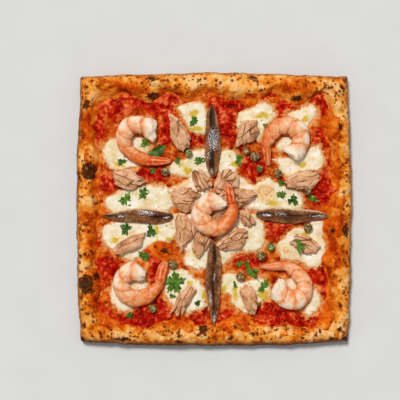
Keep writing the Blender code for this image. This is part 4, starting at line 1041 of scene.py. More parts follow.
def shrimpShape(spec, base, seed):
    # Oval rings carried through the stations. On the body each of six segments laps over the next
    # with a step; the belly side is notched; the head end is cut square and torn; the tail shell is
    # ribbed and splits at its tip.
    bodyStations, rosy, *stations = spec
    bodyRows, tailRows = shrimp["bodyRows"], shrimp["tailRows"]
    around = np.linspace(0, 2 * pi, shrimp["columns"], endpoint=False)
    side, up = np.cos(around)[None], np.sin(around)[None]  # side is +1 on the back, -1 on the belly
    last = bodyStations - 1
    share = np.concatenate([np.linspace(0.002, 1, bodyRows), np.ones(tailRows - 1)])[:, None]
    tail = np.concatenate([np.zeros(bodyRows), np.linspace(0, 1, tailRows)[1:]])[:, None]
    places = share[:, 0] * last + tail[:, 0] * (len(stations) - 1 - last)
    midX, midY, backX, backY = throughStations(np.array(stations) * mm, places).T[..., None]
    # body segments
    phase = shrimp["segments"] * share - 0.22 * (1 - side ** 2) + 0.08 * side + 0.05
    phase = phase + 0.05 * np.sin(7 * share + seed)
    saw = phase - np.floor(phase)
    onBody = smoothStep(0.05, 0, tail)
    full = smoothStep(0, 0.10, saw) * (1 - 0.5 * smoothStep(0.2, 1, saw))
    segmented = 1 - (0.045 + shrimp["notch"] * smoothStep(0.0, -1, side)) * (1 - full) * onBody
    blunt = (1 - np.clip(1 - share / 0.04, 0, 1) ** 4) ** 0.25
    # tail shell
    tipped = np.sqrt(np.clip(1 - (np.maximum(tail - 0.8, 0) / 0.2) ** 2, 0.02, 1))
    collar = 1 - shrimp["collar"] * np.exp(-((tail - 0.10) / 0.03) ** 2) * (tail > 0)
    ribs = 1 + shrimp["ribs"] * np.cos(7 * around)[None] * smoothStep(0.12, 0.35, tail)
    split = 0.20 * np.exp(-((side - 0.15) / 0.2) ** 2)
    split = split + 0.12 * np.exp(-((side + 0.55) / 0.16) ** 2)
    drawn = split * smoothStep(0.8, 1, tail) * shrimp["tailSplit"]
    # half height and half width of each ring
    halfBody = shrimp["thick"] / 2 * (1 - shrimp["tailSlim"] * smoothStep(0.45, 1, share))
    high = halfBody + (shrimp["tailThick"] / 2 - halfBody) * smoothStep(0, 0.7, tail)
    high = high * blunt * segmented * tipped * collar * ribs * (1 - 0.12 * smoothStep(0, -1, side))
    wide = np.sign(side) * np.abs(side) ** 0.92 * blunt * segmented * collar * np.sqrt(tipped)
    heading = np.stack([np.gradient(midX[:, 0]), np.gradient(midY[:, 0])], -1)
    heading = heading / np.linalg.norm(heading, axis=1, keepdims=True)
    x = midX + backX * wide - heading[:, :1] * drawn
    y = midY + backY * wide - heading[:, 1:] * drawn
    if base == shrimp["middleBase"]:
        middle = shrimp["thick"] / 2 + 2.5 * mm * tail
    else:
        middle = halfBody + (shrimp["tailThick"] / 2 + 0.6 * mm - halfBody) * smoothStep(0, 1, tail)
    z = base + middle + up * np.where(up < 0, high + shrimp["sunk"], high)
    rings = np.stack([x, y, z], -1)
    # uneven flesh, torn where the head was cut off
    torn = smoothStep(0.12, 0.0, share)
    relief = shrimp["grainRise"] * fractalNoise(x, y, z, 3.2 * mm, seed, 3)
    relief = relief + shrimp["torn"] * torn * fractalNoise(x, y, z, 5 * mm, seed + 9, 4)
    fibres = fractalNoise(side * 9 * mm, up * 9 * mm, seed * mm, 6 * mm, seed + 5, 3)
    pulled = (shrimp["pulled"] * fibres * torn)[..., None]
    rings = rings - np.pad(heading, ((0, 0), (0, 1)))[:, None] * pulled
    length = np.hypot(backX, backY)
    outward = np.stack(np.broadcast_arrays(side * backX / length, side * backY / length, up), -1)
    rings = rings + outward * relief[..., None]
    # numbers for the colours
    toJoint = np.minimum(saw, 1 - saw) / (0.035 + 0.06 * smoothStep(0.1, -1, side))
    rosyBack = rosy * smoothStep(0.45, 1, share) * (0.45 + 0.55 * smoothStep(-0.5, 0.8, side))
    orange = 0.30 + 0.70 * rosyBack + 0.16 * smoothStep(-0.3, -1, side)
    orange = orange + 0.14 * smoothStep(0.5, 1, saw) * onBody
    white = smoothStep(0.25, 0.6, side) * smoothStep(0.1, 0.3, saw) * smoothStep(0.95, 0.6, saw)
    white = white * smoothStep(0.6, 0.4, share)
    red = 0.25 * smoothStep(0.8, 1, share) + 0.8 * smoothStep(0, 0.15, tail)
    return closeTube(rings, {
        "orange": orange - 0.7 * white - 0.8 * smoothStep(0.16, 0.03, share),
        "seam": np.exp(-toJoint ** 2) * smoothStep(0.06, 0.12, share) * onBody,
        "tail": red * (0.35 + 0.65 * rosy),
        "streak": np.clip(np.cos(7 * around), 0, 1)[None] * smoothStep(0.1, 0.3, tail),
        "tip": smoothStep(0.75, 1.0, tail),
    })


def shrimpMaterial():
    # Boiled peeled shrimp: moist translucent flesh, peach with white bellies to its segments, thin
    # orange lines at the joints and a red-orange tail shell.
    material, node, place, orange, seam, tail, streak, tip, mottle, fine = startMaterial(
        "boiledShrimp", "orange seam tail streak tip", ((4, 5, 0.5), (1.2, 3, 0.5)))
    cells = node("TexVoronoi", {"Vector": place, "Scale": 1 / (4.6 * mm)}, feature="SMOOTH_F1")
    band = weigh(node, orange, (mottle, 1.3), (cells, 0.7))
    band = node("MapRange", {0: band, 1: 0.35, 2: 2.25})
    flesh = node("ValToRGB", {0: band}, stops=[
        (0.12, "#F6E2CA"), (0.32, "#F8D2AC"), (0.48, "#F6B686"), (0.64, "#F09458"), (0.82, "#E2661C")])
    shell = node("ValToRGB", {0: weigh(node, mottle, (streak, 0.3))}, stops=[
        (0.35, "#B8340C"), (0.5, "#D84E18"), (0.64, "#EC7636"), (0.82, "#F8A878")])
    colour = blend(node, tail, flesh, shell)
    tips = node("Math", {0: tip, 1: 0.5}, operation="MULTIPLY")
    colour = blend(node, tips, colour, "#E8A880")
    line = node("Math", {0: seam, 1: mottle}, operation="MULTIPLY")
    line = node("Math", {0: line, 1: 1.6}, operation="MULTIPLY")
    colour = blend(node, line, colour, "#CC602A")
    return closeMaterial(material, node, {
        "Base Color": colour, "Roughness": 0.33, "IOR": 1.4, "Specular IOR Level": 0.25,
        "Subsurface Weight": 0.12, "Subsurface Radius": (1.0, 0.5, 0.3), "Subsurface Scale": 1.6 * mm,
    }, bump=(0.25, 0.3, fine))


boiledShrimp = shrimpMaterial()
for number, (node, spec) in enumerate(shrimpPlaces.items()):
    base = shrimp["middleBase"] if node == "shrimp_middle" else shrimp["base"]
    addPiece(pieceName(node), shrimpShape(spec, base, 50 + number), boiledShrimp, [node])
print("shrimps")


# Anchovies

anchovy = {
    "wide": 16 * mm, "thick": 4.2 * mm, "base": 12.8 * mm, "sunk": 0.7 * mm,
    "muscleWide": 1.9 * mm, "sway": 0.6 * mm, "swellRise": 0.35 * mm,
    "muscleRise": 0.05, "grooveDepth": 0.25, "splitDepth": 0.5,  # as shares of half the thickness
    "rows": 190, "columns": 48,
}

# Inner end x and y and outer end x and y in mm, share of the spindle before its outer end is cut,
# its paler side; then patches, each its middle along (0 to 1) and across (-1 to 1) the fillet and its
# half length and half width as such shares: those with silver skin left, those split open and dark
anchovyPlaces = {
    "anchovy_rear": (
        (-1, 33.5, -2, 107, 0.86, 0),
        ((0.51, 0, 0.17, 0.9), (0.07, 0.2, 0.06, 0.4), (0.3, 0.5, 0.06, 0.3)),
        ((0.82, -0.1, 0.24, 0.6), (0.2, 0.1, 0.23, 0.5), (0.5, 0, 0.12, 0.25)),
    ),
    "anchovy_front": (
        (-0.5, -33, -0.5, -120, 0.98, 0),
        ((0.9, 0, 0.08, 0.7), (0.42, 0.1, 0.05, 0.2), (0.66, -0.5, 0.1, 0.25)),
        ((0.15, 0.1, 0.16, 0.3), (0.6, 0, 0.3, 0.14), (0.9, 0.1, 0.06, 0.2)),
    ),
    "anchovy_left": (
        (-41.5, -7, -116, -6, 1, -1),
        ((0.72, 0.05, 0.1, 0.3), (0.1, 0.15, 0.06, 0.25), (0.38, -0.4, 0.14, 0.35)),
        ((0.86, 0, 0.15, 0.3), (0.16, 0.1, 0.19, 0.28)),
    ),
    "anchovy_right": (
        (42.5, -5, 119.5, -7, 0.98, 1),
        ((0.14, -0.1, 0.1, 0.3), (0.34, 0.1, 0.1, 0.2), (0.84, -0.1, 0.12, 0.3)),
        ((0.1, -0.05, 0.12, 0.4), (0.85, -0.1, 0.13, 0.36), (0.55, 0, 0.12, 0.14)),
    ),
}


def inPatches(share, side, patches):
    # 1 in the middle of the nearest patch, 0 at its edge and less outside it, no lower than -1.
    insides = [
        1 - np.hypot((share - at) / long, (side - off) / wide) for at, off, long, wide in patches]
    return np.maximum(np.max(insides, axis=0), -1)


def anchovyShape(spec, seed):
    # Rings along a flat spindle, its width a sine along its length: two rounded halves with a groove
    # between them, and slanting muscle lines.
    (*ends, cut, paleSide), silverPatches, splits = spec
    x0, y0, x1, y1 = (value * mm for value in ends)
    length = np.hypot(x1 - x0, y1 - y0)
    alongX, alongY = (x1 - x0) / length, (y1 - y0) / length
    around = np.linspace(0, 2 * pi, anchovy["columns"], endpoint=False)
    side, up = np.cos(around)[None], np.sin(around)[None]
    share = np.linspace(0.002, 0.998, anchovy["rows"])[:, None]
    width = anchovy["wide"] / 2 * np.sin(pi * (share * cut) ** 0.7) ** 0.7
    width = width * np.minimum(1, (8 * (1 - share)) ** 0.5)
    width = width * (1 + 0.04 * fractalNoise(share * length, side * 4 * mm, 0, 6 * mm, seed, 3))
    silver, split = inPatches(share, side, silverPatches), inPatches(share, side, splits)
    groove = anchovy["grooveDepth"] * np.exp(-(side / 0.12) ** 2)
    groove = (groove + anchovy["splitDepth"] * smoothStep(0, 0.6, split)) * (up > 0)
    muscle = share * length / anchovy["muscleWide"] + 1.8 * np.abs(side)
    muscle = anchovy["muscleRise"] * np.sin(2 * pi * muscle) * (up > 0)
    tapered = np.minimum(1, np.minimum(4 * share, 4 * (1 - share)))
    thick = anchovy["thick"] / 2 * tapered * (1 - groove + muscle)
    thick = np.where(up < 0, anchovy["thick"] / 2 * tapered + anchovy["sunk"], thick)
    across = side * width + anchovy["sway"] * np.sin(3 * pi * share)
    along = length * share
    x = x0 + alongX * along - alongY * across
    y = y0 + alongY * along + alongX * across
    swell = anchovy["swellRise"] * fractalNoise(x, y, 0, 9 * mm, seed + 3, 2) * (up > 0)
    rounded = np.sign(up) * np.abs(up) ** 0.8 * thick
    z = anchovy["base"] + anchovy["thick"] / 2 + rounded + swell * np.abs(up)
    cream = smoothStep(0.55, 0.95, side * paleSide)
    cream = cream * smoothStep(0.0, 0.1, share) * smoothStep(1.0, 0.8, share)
    return closeTube(np.stack([x, y, z], axis=-1), {
        "across": side, "silver": silver, "split": split, "muscle": muscle * 20, "pale": cream})


def anchovyMaterial():
    # Salted anchovy fillet in oil: brown flesh in fine muscle lines, nearly black along the middle,
    # paler at one edge, with torn remains of silver skin.
    material, node, _, across, silver, split, muscle, pale, mottle, broad, flecks = startMaterial(
        "oiledAnchovy", "across silver split muscle pale",
        ((2.6, 6, 0.65), (14, 2, 0.5), (1.3, 3, 0.5)))
    off = node("Math", {0: across}, operation="ABSOLUTE")
    tone = weigh(node, broad, (off, 0.45), (mottle, 1.4), (muscle, 0.12))
    tone = node("MapRange", {0: tone, 1: 0.75, 2: 2.0})
    colour = node("ValToRGB", {0: tone}, stops=[
        (0.1, "#261006"), (0.3, "#4A240E"), (0.5, "#6E3E22"), (0.7, "#90603C"), (0.92, "#BC8A60")])
    # dark where the fillet is split open along its middle, cream fat along one edge
    colour = layOver(node, colour, "#241008", weigh(node, split, (mottle, 1.2)), 0.5, 1.15, 0.9)
    colour = layOver(node, colour, "#E2C09A", weigh(node, pale, (mottle, 1.2)), 0.95, 1.45, 0.92)
    # torn remains of silver skin
    patch = rise(node, weigh(node, silver, (flecks, 2.4), (mottle, 1.0)), 1.9, 2.35, 0.9)
    skin = node("ValToRGB", {0: flecks}, stops=[
        (0.36, "#6A625E"), (0.5, "#98928E"), (0.64, "#D8DADC")])
    return closeMaterial(material, node, {
        "Base Color": blend(node, patch, colour, skin), "Roughness": 0.36,
        "Metallic": node("Math", {0: patch, 1: 0.15}, operation="MULTIPLY"),
        "Specular IOR Level": 0.16, "Specular Tint": "#FFE0C0",
    }, bump=(0.5, 0.4, mottle))


oiledAnchovy = anchovyMaterial()
for number, (node, spec) in enumerate(anchovyPlaces.items()):
    addPiece(pieceName(node), anchovyShape(spec, 70 + number), oiledAnchovy, [node])
print("anchovies")


# Tuna

tuna = {
    "base": 12.8 * mm, "height": 8.5 * mm, "looseHeight": 4.4 * mm, "sunk": 0.8 * mm,
    "flakeWide": 4.6 * mm, "flakeShort": 10 * mm, "flakeLong": 22 * mm,
    "flakeRise": 2.8 * mm, "crackDepth": 2.2 * mm, "crown": 0.34,
    "strand": 1.9 * mm, "strandReach": 2.2 * mm,
    "columns": 192, "topRows": 54, "sideRows": 12,
}

# Outlines in mm, each after the turn of its grain in degrees; the loose flake shows through the
# middle shrimp
tunaOutlines = {
    "tuna_outer_1": (
        112, (-46.2, 98), (-36.9, 92.9), (-24.6, 76.4), (-24.6, 64.1), (-30.8, 60), (-36.9, 61),
        (-44.1, 73.4),
    ),
    "tuna_outer_2": (
        52, (27.7, 88.7), (36.9, 91.8), (44.1, 90.8), (45.1, 79.5), (41, 70.3), (33.9, 68.2),
        (23.6, 63.1), (21.5, 68.2),
    ),
    "tuna_outer_3": (
        -12, (-104.7, 37.4), (-94.4, 40.5), (-86.2, 41.6), (-79, 36.4), (-69.8, 28.2), (-82.1, 21),
        (-89.3, 20), (-100.5, 25.1),
    ),
    "tuna_outer_4": (
        22, (77, 34.4), (88.2, 38.5), (100.5, 40.5), (106.7, 36.4), (106.7, 28.2), (99.5, 21),
        (88.2, 21), (75.9, 22.1), (71.8, 27.2),
    ),
    "tuna_outer_5": (
        31, (-102.6, -38.5), (-96.4, -33.3), (-86.2, -27.2), (-72.8, -24.1), (-72.8, -33.3),
        (-75.9, -38.5), (-88.2, -43.6), (-99.5, -47.7),
    ),
    "tuna_outer_6": (
        63, (-44.6, -106.5), (-41, -101.5), (-37.5, -110.3), (-34.8, -103), (-31.5, -106),
        (-28, -99), (-18.5, -82.6), (-22, -78.5), (-27.7, -79.5), (-35, -84),
    ),
    "tuna_outer_7": (
        118, (24.6, -79.5), (36.9, -77.5), (43.1, -84.6), (44.1, -98), (42.1, -105.2),
        (36.9, -107.2), (29.8, -95.9),
    ),
    "tuna_outer_8": (
        -20, (78, -34.4), (84.1, -25.1), (98.5, -28.2), (108.8, -38.5), (105.7, -42.6),
        (93.4, -45.7), (84.1, -40.5),
    ),
    "tuna_middle_1": (
        125, (-23.1, 39.7), (-13.6, 41.7), (-9.7, 37.9), (-4.5, 30.3), (-1.5, 26.6), (-2.2, 22.7),
        (-9.7, 18.7), (-17.5, 19.4), (-22.2, 31.3),
    ),
    "tuna_middle_2": (
        52, (0, 26.2), (8.6, 40.3), (15.2, 40.9), (23.6, 39), (24.9, 29.2), (24.3, 22.7),
        (18.5, 22.1), (6.7, 12.8), (2.1, 17.4),
    ),
    "tuna_middle_3": (
        -14, (-44.7, 16.7), (-40.4, 22.1), (-24.1, 22.1), (-13.6, 15.5), (-18.9, 8.9),
        (-21.5, -0.2), (-27.4, -3.5), (-38.5, 1.7), (-43.7, 8.9),
    ),
    "tuna_middle_4": (
        12, (21, 20.7), (28.2, 22.1), (41.3, 18.8), (42.1, 13.5), (34.2, 6.4), (25.7, 2.4),
        (23, 8.9),
    ),
    "tuna_middle_5": (
        86, (-40.4, -10.1), (-36.5, -5.4), (-28.7, -4.2), (-22.8, -9.4), (-16.2, -19.9),
        (-25.4, -32.9), (-33.2, -41.6), (-35.9, -38.9), (-39.2, -24.4),
    ),
    "tuna_middle_6": (
        -62, (24.9, -0.2), (34.2, 1.7), (36.7, -2.9), (42.7, -12.7), (40, -15.9), (30.8, -16.6),
        (25.7, -8.1),
    ),
    "tuna_middle_7": (
        76, (-18.9, -25.1), (-15, -23.1), (-2.5, -30.3), (-8.4, -40.8), (-15, -48.7),
        (-20.8, -43.4), (-22.8, -36.9),
    ),
    "tuna_middle_8": (
        30, (4.1, -36.2), (7.2, -29), (13.2, -25.8), (20.4, -18), (30.8, -19.9), (34.8, -27.7),
        (30.8, -33.7), (27, -40.1), (10.6, -42.2), (8, -40.5),
    ),
}
looseFlake = (
    38, (-15, -13), (-6, -19), (7, -17), (16, -9), (17, 4), (11, 14), (0, 16), (-10, 9), (-16, -2),
)

# The round place under the middle shrimp, where the tuna stays lower
underShrimp = {"x": 1 * mm, "y": -4.5 * mm, "radius": 26 * mm, "ceiling": 16.9 * mm}


def cutCorners(corners, share):
    # Each corner of a closed outline becomes two, at that share of the two sides that meet there.
    following = np.roll(corners, -1, axis=0)
    cuts = [corners * (1 - share) + following * share, corners * share + following * (1 - share)]
    return np.concatenate(cuts, axis=1).reshape(-1, 2)


def tunaShape(turn, corners, seed, height):
    # Rings from the middle of the top out to the outline, down the side and in below. The top falls
    # off with the cube of the reach and is split along the grain into long flakes, each with its own
    # step up or down, with bell-shaped cracks where they part.
    outline = cutCorners(cutCorners(np.array(corners) * mm, 0.08), 0.16)
    closed = np.concatenate([outline, outline[:1]])
    lengths = np.concatenate([[0], np.cumsum(np.hypot(*np.diff(closed, axis=0).T))])
    places = np.linspace(0, lengths[-1], tuna["columns"], endpoint=False)
    edge = np.stack([np.interp(places, lengths, line) for line in closed.T], -1)
    middle = edge.mean(axis=0)
    grain = np.radians(turn)
    direction = np.array([np.cos(grain), np.sin(grain)])
    crossing = np.array([-np.sin(grain), np.cos(grain)])
    # strands end unevenly: the outline moves along the grain by a step for each strand
    strand = np.floor(edge @ crossing / tuna["strand"]).astype(np.int64)
    uneven = 1.3 * (latticeValue(strand, 0, 0, seed) - 0.6)
    uneven = uneven + smoothNoise(edge[:, 0], edge[:, 1], 0, 2.5 * mm, seed)
    facing = ((edge - middle) @ direction) / np.linalg.norm(edge - middle, axis=1)
    edge = edge + direction * (tuna["strandReach"] * uneven * facing * np.abs(facing))[:, None]
    frayed = 0.5 * mm * smoothNoise(edge[:, 0], edge[:, 1], 3, 3 * mm, seed)
    edge = edge + crossing * frayed[:, None]
    reach = np.concatenate([
        np.linspace(0.02, 1, tuna["topRows"]), np.linspace(1.02, 1.03, tuna["sideRows"]),
        [0.9, 0.5, 0.1]])[:, None]
    level = np.concatenate([
        np.ones(tuna["topRows"]), np.linspace(0.93, 0, tuna["sideRows"]), [0, 0, 0]])[:, None]
    x = middle[0] + (edge[:, 0] - middle[0]) * reach
    y = middle[1] + (edge[:, 1] - middle[1]) * reach
    along = (x - middle[0]) * direction[0] + (y - middle[1]) * direction[1]
    cross = (x - middle[0]) * crossing[0] + (y - middle[1]) * crossing[1]
    bowed = cross + 2.2 * mm * smoothNoise(x, y, 0, 13 * mm, seed)
    bowed = bowed + 0.9 * mm * fractalNoise(x, y, 0, 5 * mm, seed, 2)
    # flakes, finer ones on them and the cracks where they gape
    wide = tuna["flakeWide"]
    long = tuna["flakeShort"] + (tuna["flakeLong"] - tuna["flakeShort"]) * latticeValue(seed, 1, 2, 3)
    _, gap, number = cellDistance(along / long * wide, bowed, wide, seed + 2)
    _, fineGap, fineNumber = cellDistance(along / long * wide * 1.4, bowed, wide / 2.6, seed + 4)
    parted = smoothStep(-0.35, 0.4, smoothNoise(x, y, 0, 9 * mm, seed + 6))
    crack = np.exp(-(gap / (0.05 + 0.09 * parted)) ** 2) * (0.15 + 0.85 * parted)
    fineCrack = np.exp(-(fineGap / 0.14) ** 2)
    crown = 1 - tuna["crown"] * np.clip(reach, 0, 1) ** 3
    top = height * crown + tuna["flakeRise"] * (number - 0.65) + 0.4 * mm * (fineNumber - 0.5)
    top = top - tuna["crackDepth"] * crack - 0.3 * mm * fineCrack
    top = top + 0.5 * mm * fractalNoise(x, y, 0, 6 * mm, seed + 8, 2)
    z = tuna["base"] - tuna["sunk"] + (top + tuna["sunk"]) * level
    low = np.hypot(x - underShrimp["x"], y - underShrimp["y"]) < underShrimp["radius"]
    z = np.where(low, np.minimum(z, underShrimp["ceiling"] + 0.4 * mm * (number - 1) * level), z)
    inwards = 0.9 * mm * (number - 0.5) * ((reach > 1) & (level > 0))
    rings = np.stack([x + inwards * crossing[0], y + inwards * crossing[1], z], axis=-1)
    # dark in the cracks, and on the lower side and underside of the chunk: painted shade
    return closeTube(rings, {
        "crack": np.maximum(crack, 0.2 * fineCrack) * (level > 0) + 0.35 * smoothStep(0.7, 0.1, level),
        "flake": number * 0.7 + fineNumber * 0.3,
    })


def tunaMaterial():
    # Cooked tuna: dry beige flakes, each a little lighter or darker, with painted shade in dark
    # brown along the cracks where they part and on the lower sides.
    material, node, _, crack, flake, mottle, broad = startMaterial(
        "cookedTuna", "crack flake", ((2, 5, 0.5), (11, 2, 0.5)))
    tone = weigh(node, broad, (flake, 0.35), (mottle, 0.9))
    tone = node("MapRange", {0: tone, 1: 0.75, 2: 1.55})
    flesh = node("ValToRGB", {0: tone}, stops=[
        (0.1, "#AC7046"), (0.35, "#D29868"), (0.6, "#E6B084"), (0.9, "#F4CCA8")])
    # painted shade: dark brown in the cracks and on the lower sides
    colour = layOver(node, flesh, "#7A4220", weigh(node, crack, (mottle, 0.5)), 0.5, 1.3, 0.8)
    return closeMaterial(material, node, {
        "Base Color": colour, "Roughness": 0.55, "Specular IOR Level": 0.3,
        "Subsurface Weight": 0.05, "Subsurface Radius": (1.0, 0.6, 0.4), "Subsurface Scale": 1.2 * mm,
    }, bump=(0.4, 0.4, mottle))


cookedTuna = tunaMaterial()
for number, (node, (turn, *corners)) in enumerate(tunaOutlines.items()):
    chunk = tunaShape(turn, corners, 90 + 3 * number, tuna["height"])
    addPiece(pieceName(node), chunk, cookedTuna, [node])
flake = tunaShape(looseFlake[0], looseFlake[1:], 150, tuna["looseHeight"])
addPiece("tunaUnderShrimp", flake, cookedTuna)
print("tuna")


# Capers

caper = {
    "base": 12.4 * mm, "drop": 1.4 * mm, "lean": 50, "foldDent": 0.07, "drawnOut": 1.12,
    "rows": 26, "columns": 36,
}

# Middle x and y and radius in mm, how green it is from 0 to 1, and whether it lies on the lower sauce
capers = (
    (-50, 38.5, 4.4, 0.1, 0), (42, 54, 5, 0.1, 1), (65, 37, 4.4, 0, 1), (46.5, 41.5, 3.8, 0.3, 1),
    (33, 60, 3.9, 0, 1), (95.5, 18.5, 3.8, 0, 0), (96, -18.5, 4.6, 0.1, 0), (48, -47, 4.8, 0.1, 0),
    (58, -38.5, 4.2, 0.9, 1), (27, -68.5, 4.5, 0, 0), (-42.5, -56, 4.6, 0.1, 1),
    (-62.5, -101.5, 4.6, 0.1, 1), (-26, 57.5, 3.9, 0.6, 0),
)


def caperShape(spec, seed):
    # A ball slightly drawn out and leaning over, dented by bell curves along the folds that run from
    # its point.
    x, y, radius, green, lower = spec
    polar = np.linspace(0.04, pi - 0.04, caper["rows"])[:, None]
    around = np.linspace(0, 2 * pi, caper["columns"], endpoint=False)[None]
    fold = np.cos(2 * around + 1.8 * polar + seed)
    bulge = 1 - caper["foldDent"] * np.exp(-((fold - 1) / 0.25) ** 2)
    bulge = bulge - 0.05 * np.exp(-(polar / 0.25) ** 2)
    ball = np.stack([
        np.sin(polar) * np.cos(around) * bulge, np.sin(polar) * np.sin(around) * bulge,
        np.where(polar < pi / 2, caper["drawnOut"], 0.95) * np.cos(polar) * bulge,
    ], axis=-1)
    lean, spin = np.radians(caper["lean"]), seed * 2.4
    tilt = np.array([[1, 0, 0], [0, np.cos(lean), -np.sin(lean)], [0, np.sin(lean), np.cos(lean)]])
    turn = np.array([[np.cos(spin), -np.sin(spin), 0], [np.sin(spin), np.cos(spin), 0], [0, 0, 1]])
    ball = ball @ (turn @ tilt).T * radius * mm
    ball = ball * (1 + 0.04 * fractalNoise(*np.moveaxis(ball, -1, 0), 4 * mm, seed, 3))[..., None]
    rest = caper["base"] - caper["drop"] * lower - ball[..., 2].min()
    ball = ball + np.array([x * mm, y * mm, rest])
    return closeTube(ball, {"fold": np.exp(-((fold - 1) / 0.2) ** 2), "green": green})


def caperMaterial():
    # Pickled caper buds: satin olive skin, browner on some, with painted shade along the folds.
    material, node, _, fold, green, mottle = startMaterial(
        "pickledCaper", "fold green", ((2, 4, 0.5),))
    brownish = node("ValToRGB", {0: mottle}, stops=[
        (0.34, "#3E260E"), (0.5, "#86622E"), (0.66, "#D2B684")])
    fresh = node("ValToRGB", {0: mottle}, stops=[
        (0.34, "#34480E"), (0.5, "#66802E"), (0.66, "#B6C07C")])
    # painted shade along the folds
    shade = node("Math", {0: fold, 1: 0.35}, operation="MULTIPLY")
    colour = blend(node, shade, blend(node, green, brownish, fresh), "#2C2412")
    return closeMaterial(
        material, node, {"Base Color": colour, "Roughness": 0.36, "Specular IOR Level": 0.3},
        bump=(0.2, 0.3, mottle))


buds = joinShapes([caperShape(spec, 1 + number) for number, spec in enumerate(capers)])
caperNodes = [f"caper_{1 + number}" for number in range(len(capers))]
addPiece("caperBuds", buds, caperMaterial(), caperNodes)
print("capers")


# Parsley

parsley = {
    "base": 12.9 * mm, "thick": 0.35 * mm, "curl": 1.6 * mm, "sway": 0.9 * mm, "crease": 0.5 * mm,
    "grow": 1.12, "columns": 112, "rows": 12,
}

# Middle x and y, length and width in mm, turn in degrees, number of lobes, height over the rest in
# mm: the leaves that are nodes of the part, then the small scraps
leaves = (
    (-20.5, 90.5, 9, 8, 100, 3, 0), (-57, 60.5, 15, 13, 32, 2, 0), (-72, 17, 12, 9, 80, 5, 0),
    (-90, 10, 13, 11, 70, 3, 0), (-14.5, 50, 12, 7, 10, 3, 0), (26, 51, 11, 9, 60, 5, 0),
    (69, 15, 9, 8, 50, 3, 0), (81, 9, 11, 10, 80, 3, 0), (101, 11, 11, 6, -25, 3, -0.8),
    (-90, -19.5, 12, 9, 80, 5, 0), (-64.5, -22, 12, 9, 100, 3, 0), (-71, -47.5, 11, 8, 150, 3, 0),
    (-40.5, -75, 19, 18, 85, 5, 0), (87, -37, 13, 8, 115, 3, 8.6), (37, -60.5, 22, 10, -58, 5, 0),
    (51, -78, 13, 8, 60, 5, 0),
)
scraps = (
    (-71, 67.7, 9, 7.5, -20, 3, 0), (-61.5, 40, 8, 5, 0, 3, 0), (26, -56, 6, 5, 40, 3, 0),
    (-86.5, -108, 7, 6, 60, 3, 0), (-95, 49, 9, 6, 10, 3, 0), (-37, 50, 8, 5, 80, 3, 0),
    (52, 86.5, 5, 3, 30, 3, 0), (69, 27, 8, 6, 20, 3, 0), (-43, -89, 6, 5, 0, 3, 0),
    (-17, -96, 7, 5, 50, 3, 0), (21.5, -77, 9, 3, 110, 3, 0), (47, -97, 4, 3, 70, 3, 0),
)


def leafShape(spec, seed):
    # Rings from the middle of an outline to its edge and back below. The outline is a sum of cosines
    # of the angle for lobes and teeth; the blade is creased along the lobes and curls at its edge.
    middleX, middleY, length, width, turn, lobes, raised = spec
    length, width = length * parsley["grow"], width * parsley["grow"]
    around = np.linspace(0, 2 * pi, parsley["columns"], endpoint=False)[None]
    cosine, sine = np.cos(around), np.sin(around)
    bent = around + 0.35 * smoothNoise(cosine * 1.5, sine * 1.5, seed * 1.7, 1, seed)
    lobe = np.abs(np.cos(lobes * bent / 2))
    tooth = 1 - np.abs(np.cos(lobes * 1.5 * bent + pi / 2))
    uneven = 1 + 0.22 * smoothNoise(cosine, sine, seed * 2.3, 0.9, seed + 5)
    outline = (0.40 + 0.52 * lobe ** 0.8 + 0.26 * tooth * (0.4 + lobe)) * uneven
    half = np.linspace(0.03, 1, parsley["rows"])
    reach = np.concatenate([half, half[::-1]])[:, None]
    face = np.concatenate([np.ones(parsley["rows"]), -np.ones(parsley["rows"])])[:, None]
    long = cosine * outline * reach * length / 2 * mm
    wide = sine * outline * reach * width / 2 * mm
    crease = -parsley["crease"] * lobe ** 8 * reach
    bow = parsley["curl"] * (np.cos(around + seed) * reach) ** 2 * min(width, 9) / 9
    sway = parsley["sway"] * smoothNoise(long, wide, seed, 4.5 * mm, seed) * reach
    lift, skin = parsley["base"] + raised * mm, face * parsley["thick"] / 2
    z = lift + bow + crease + sway + skin * (reach < 0.99)
    z = np.maximum(z, lift - 0.35 * mm + skin)
    angle = np.radians(turn)
    x = middleX * mm + long * np.cos(angle) - wide * np.sin(angle)
    y = middleY * mm + long * np.sin(angle) + wide * np.cos(angle)
    return closeTube(np.stack([x, y, z], axis=-1), {
        "vein": lobe ** 20 * smoothStep(0.05, 0.3, reach), "tone": latticeValue(seed, 3, 5, 7)})


def parsleyMaterial():
    # Fresh flat parsley: satin leaf, lighter along the veins, darker on turned-away parts.
    material, node, _, vein, tone, mottle = startMaterial("freshParsley", "vein tone", ((3, 4, 0.5),))
    leaf = node("ValToRGB", {0: weigh(node, mottle, (tone, 0.3))}, stops=[
        (0.4, "#163002"), (0.58, "#2A5004"), (0.75, "#486E0C"), (0.95, "#7E9E34")])
    line = node("Math", {0: vein, 1: 0.35}, operation="MULTIPLY")
    return closeMaterial(material, node, {
        "Base Color": blend(node, line, leaf, "#7FA84C"),
        "Roughness": 0.45, "Specular IOR Level": 0.16,
        "Subsurface Weight": 0.1, "Subsurface Radius": (0.4, 1.0, 0.2), "Subsurface Scale": 0.6 * mm,
    }, bump=(0.3, 0.3, mottle))


sprigs = joinShapes([leafShape(spec, 1 + number) for number, spec in enumerate(leaves + scraps)])
parsleyNodes = [f"parsley_{1 + number}" for number in range(len(leaves))]
addPiece("parsleyLeaves", sprigs, parsleyMaterial(), parsleyNodes)
print("parsley")


# Crumbs of dried herbs and pepper

crumbs = {"count": 170, "least": 0.4 * mm, "most": 1.1 * mm, "lift": 0.15 * mm, "seed": 8}


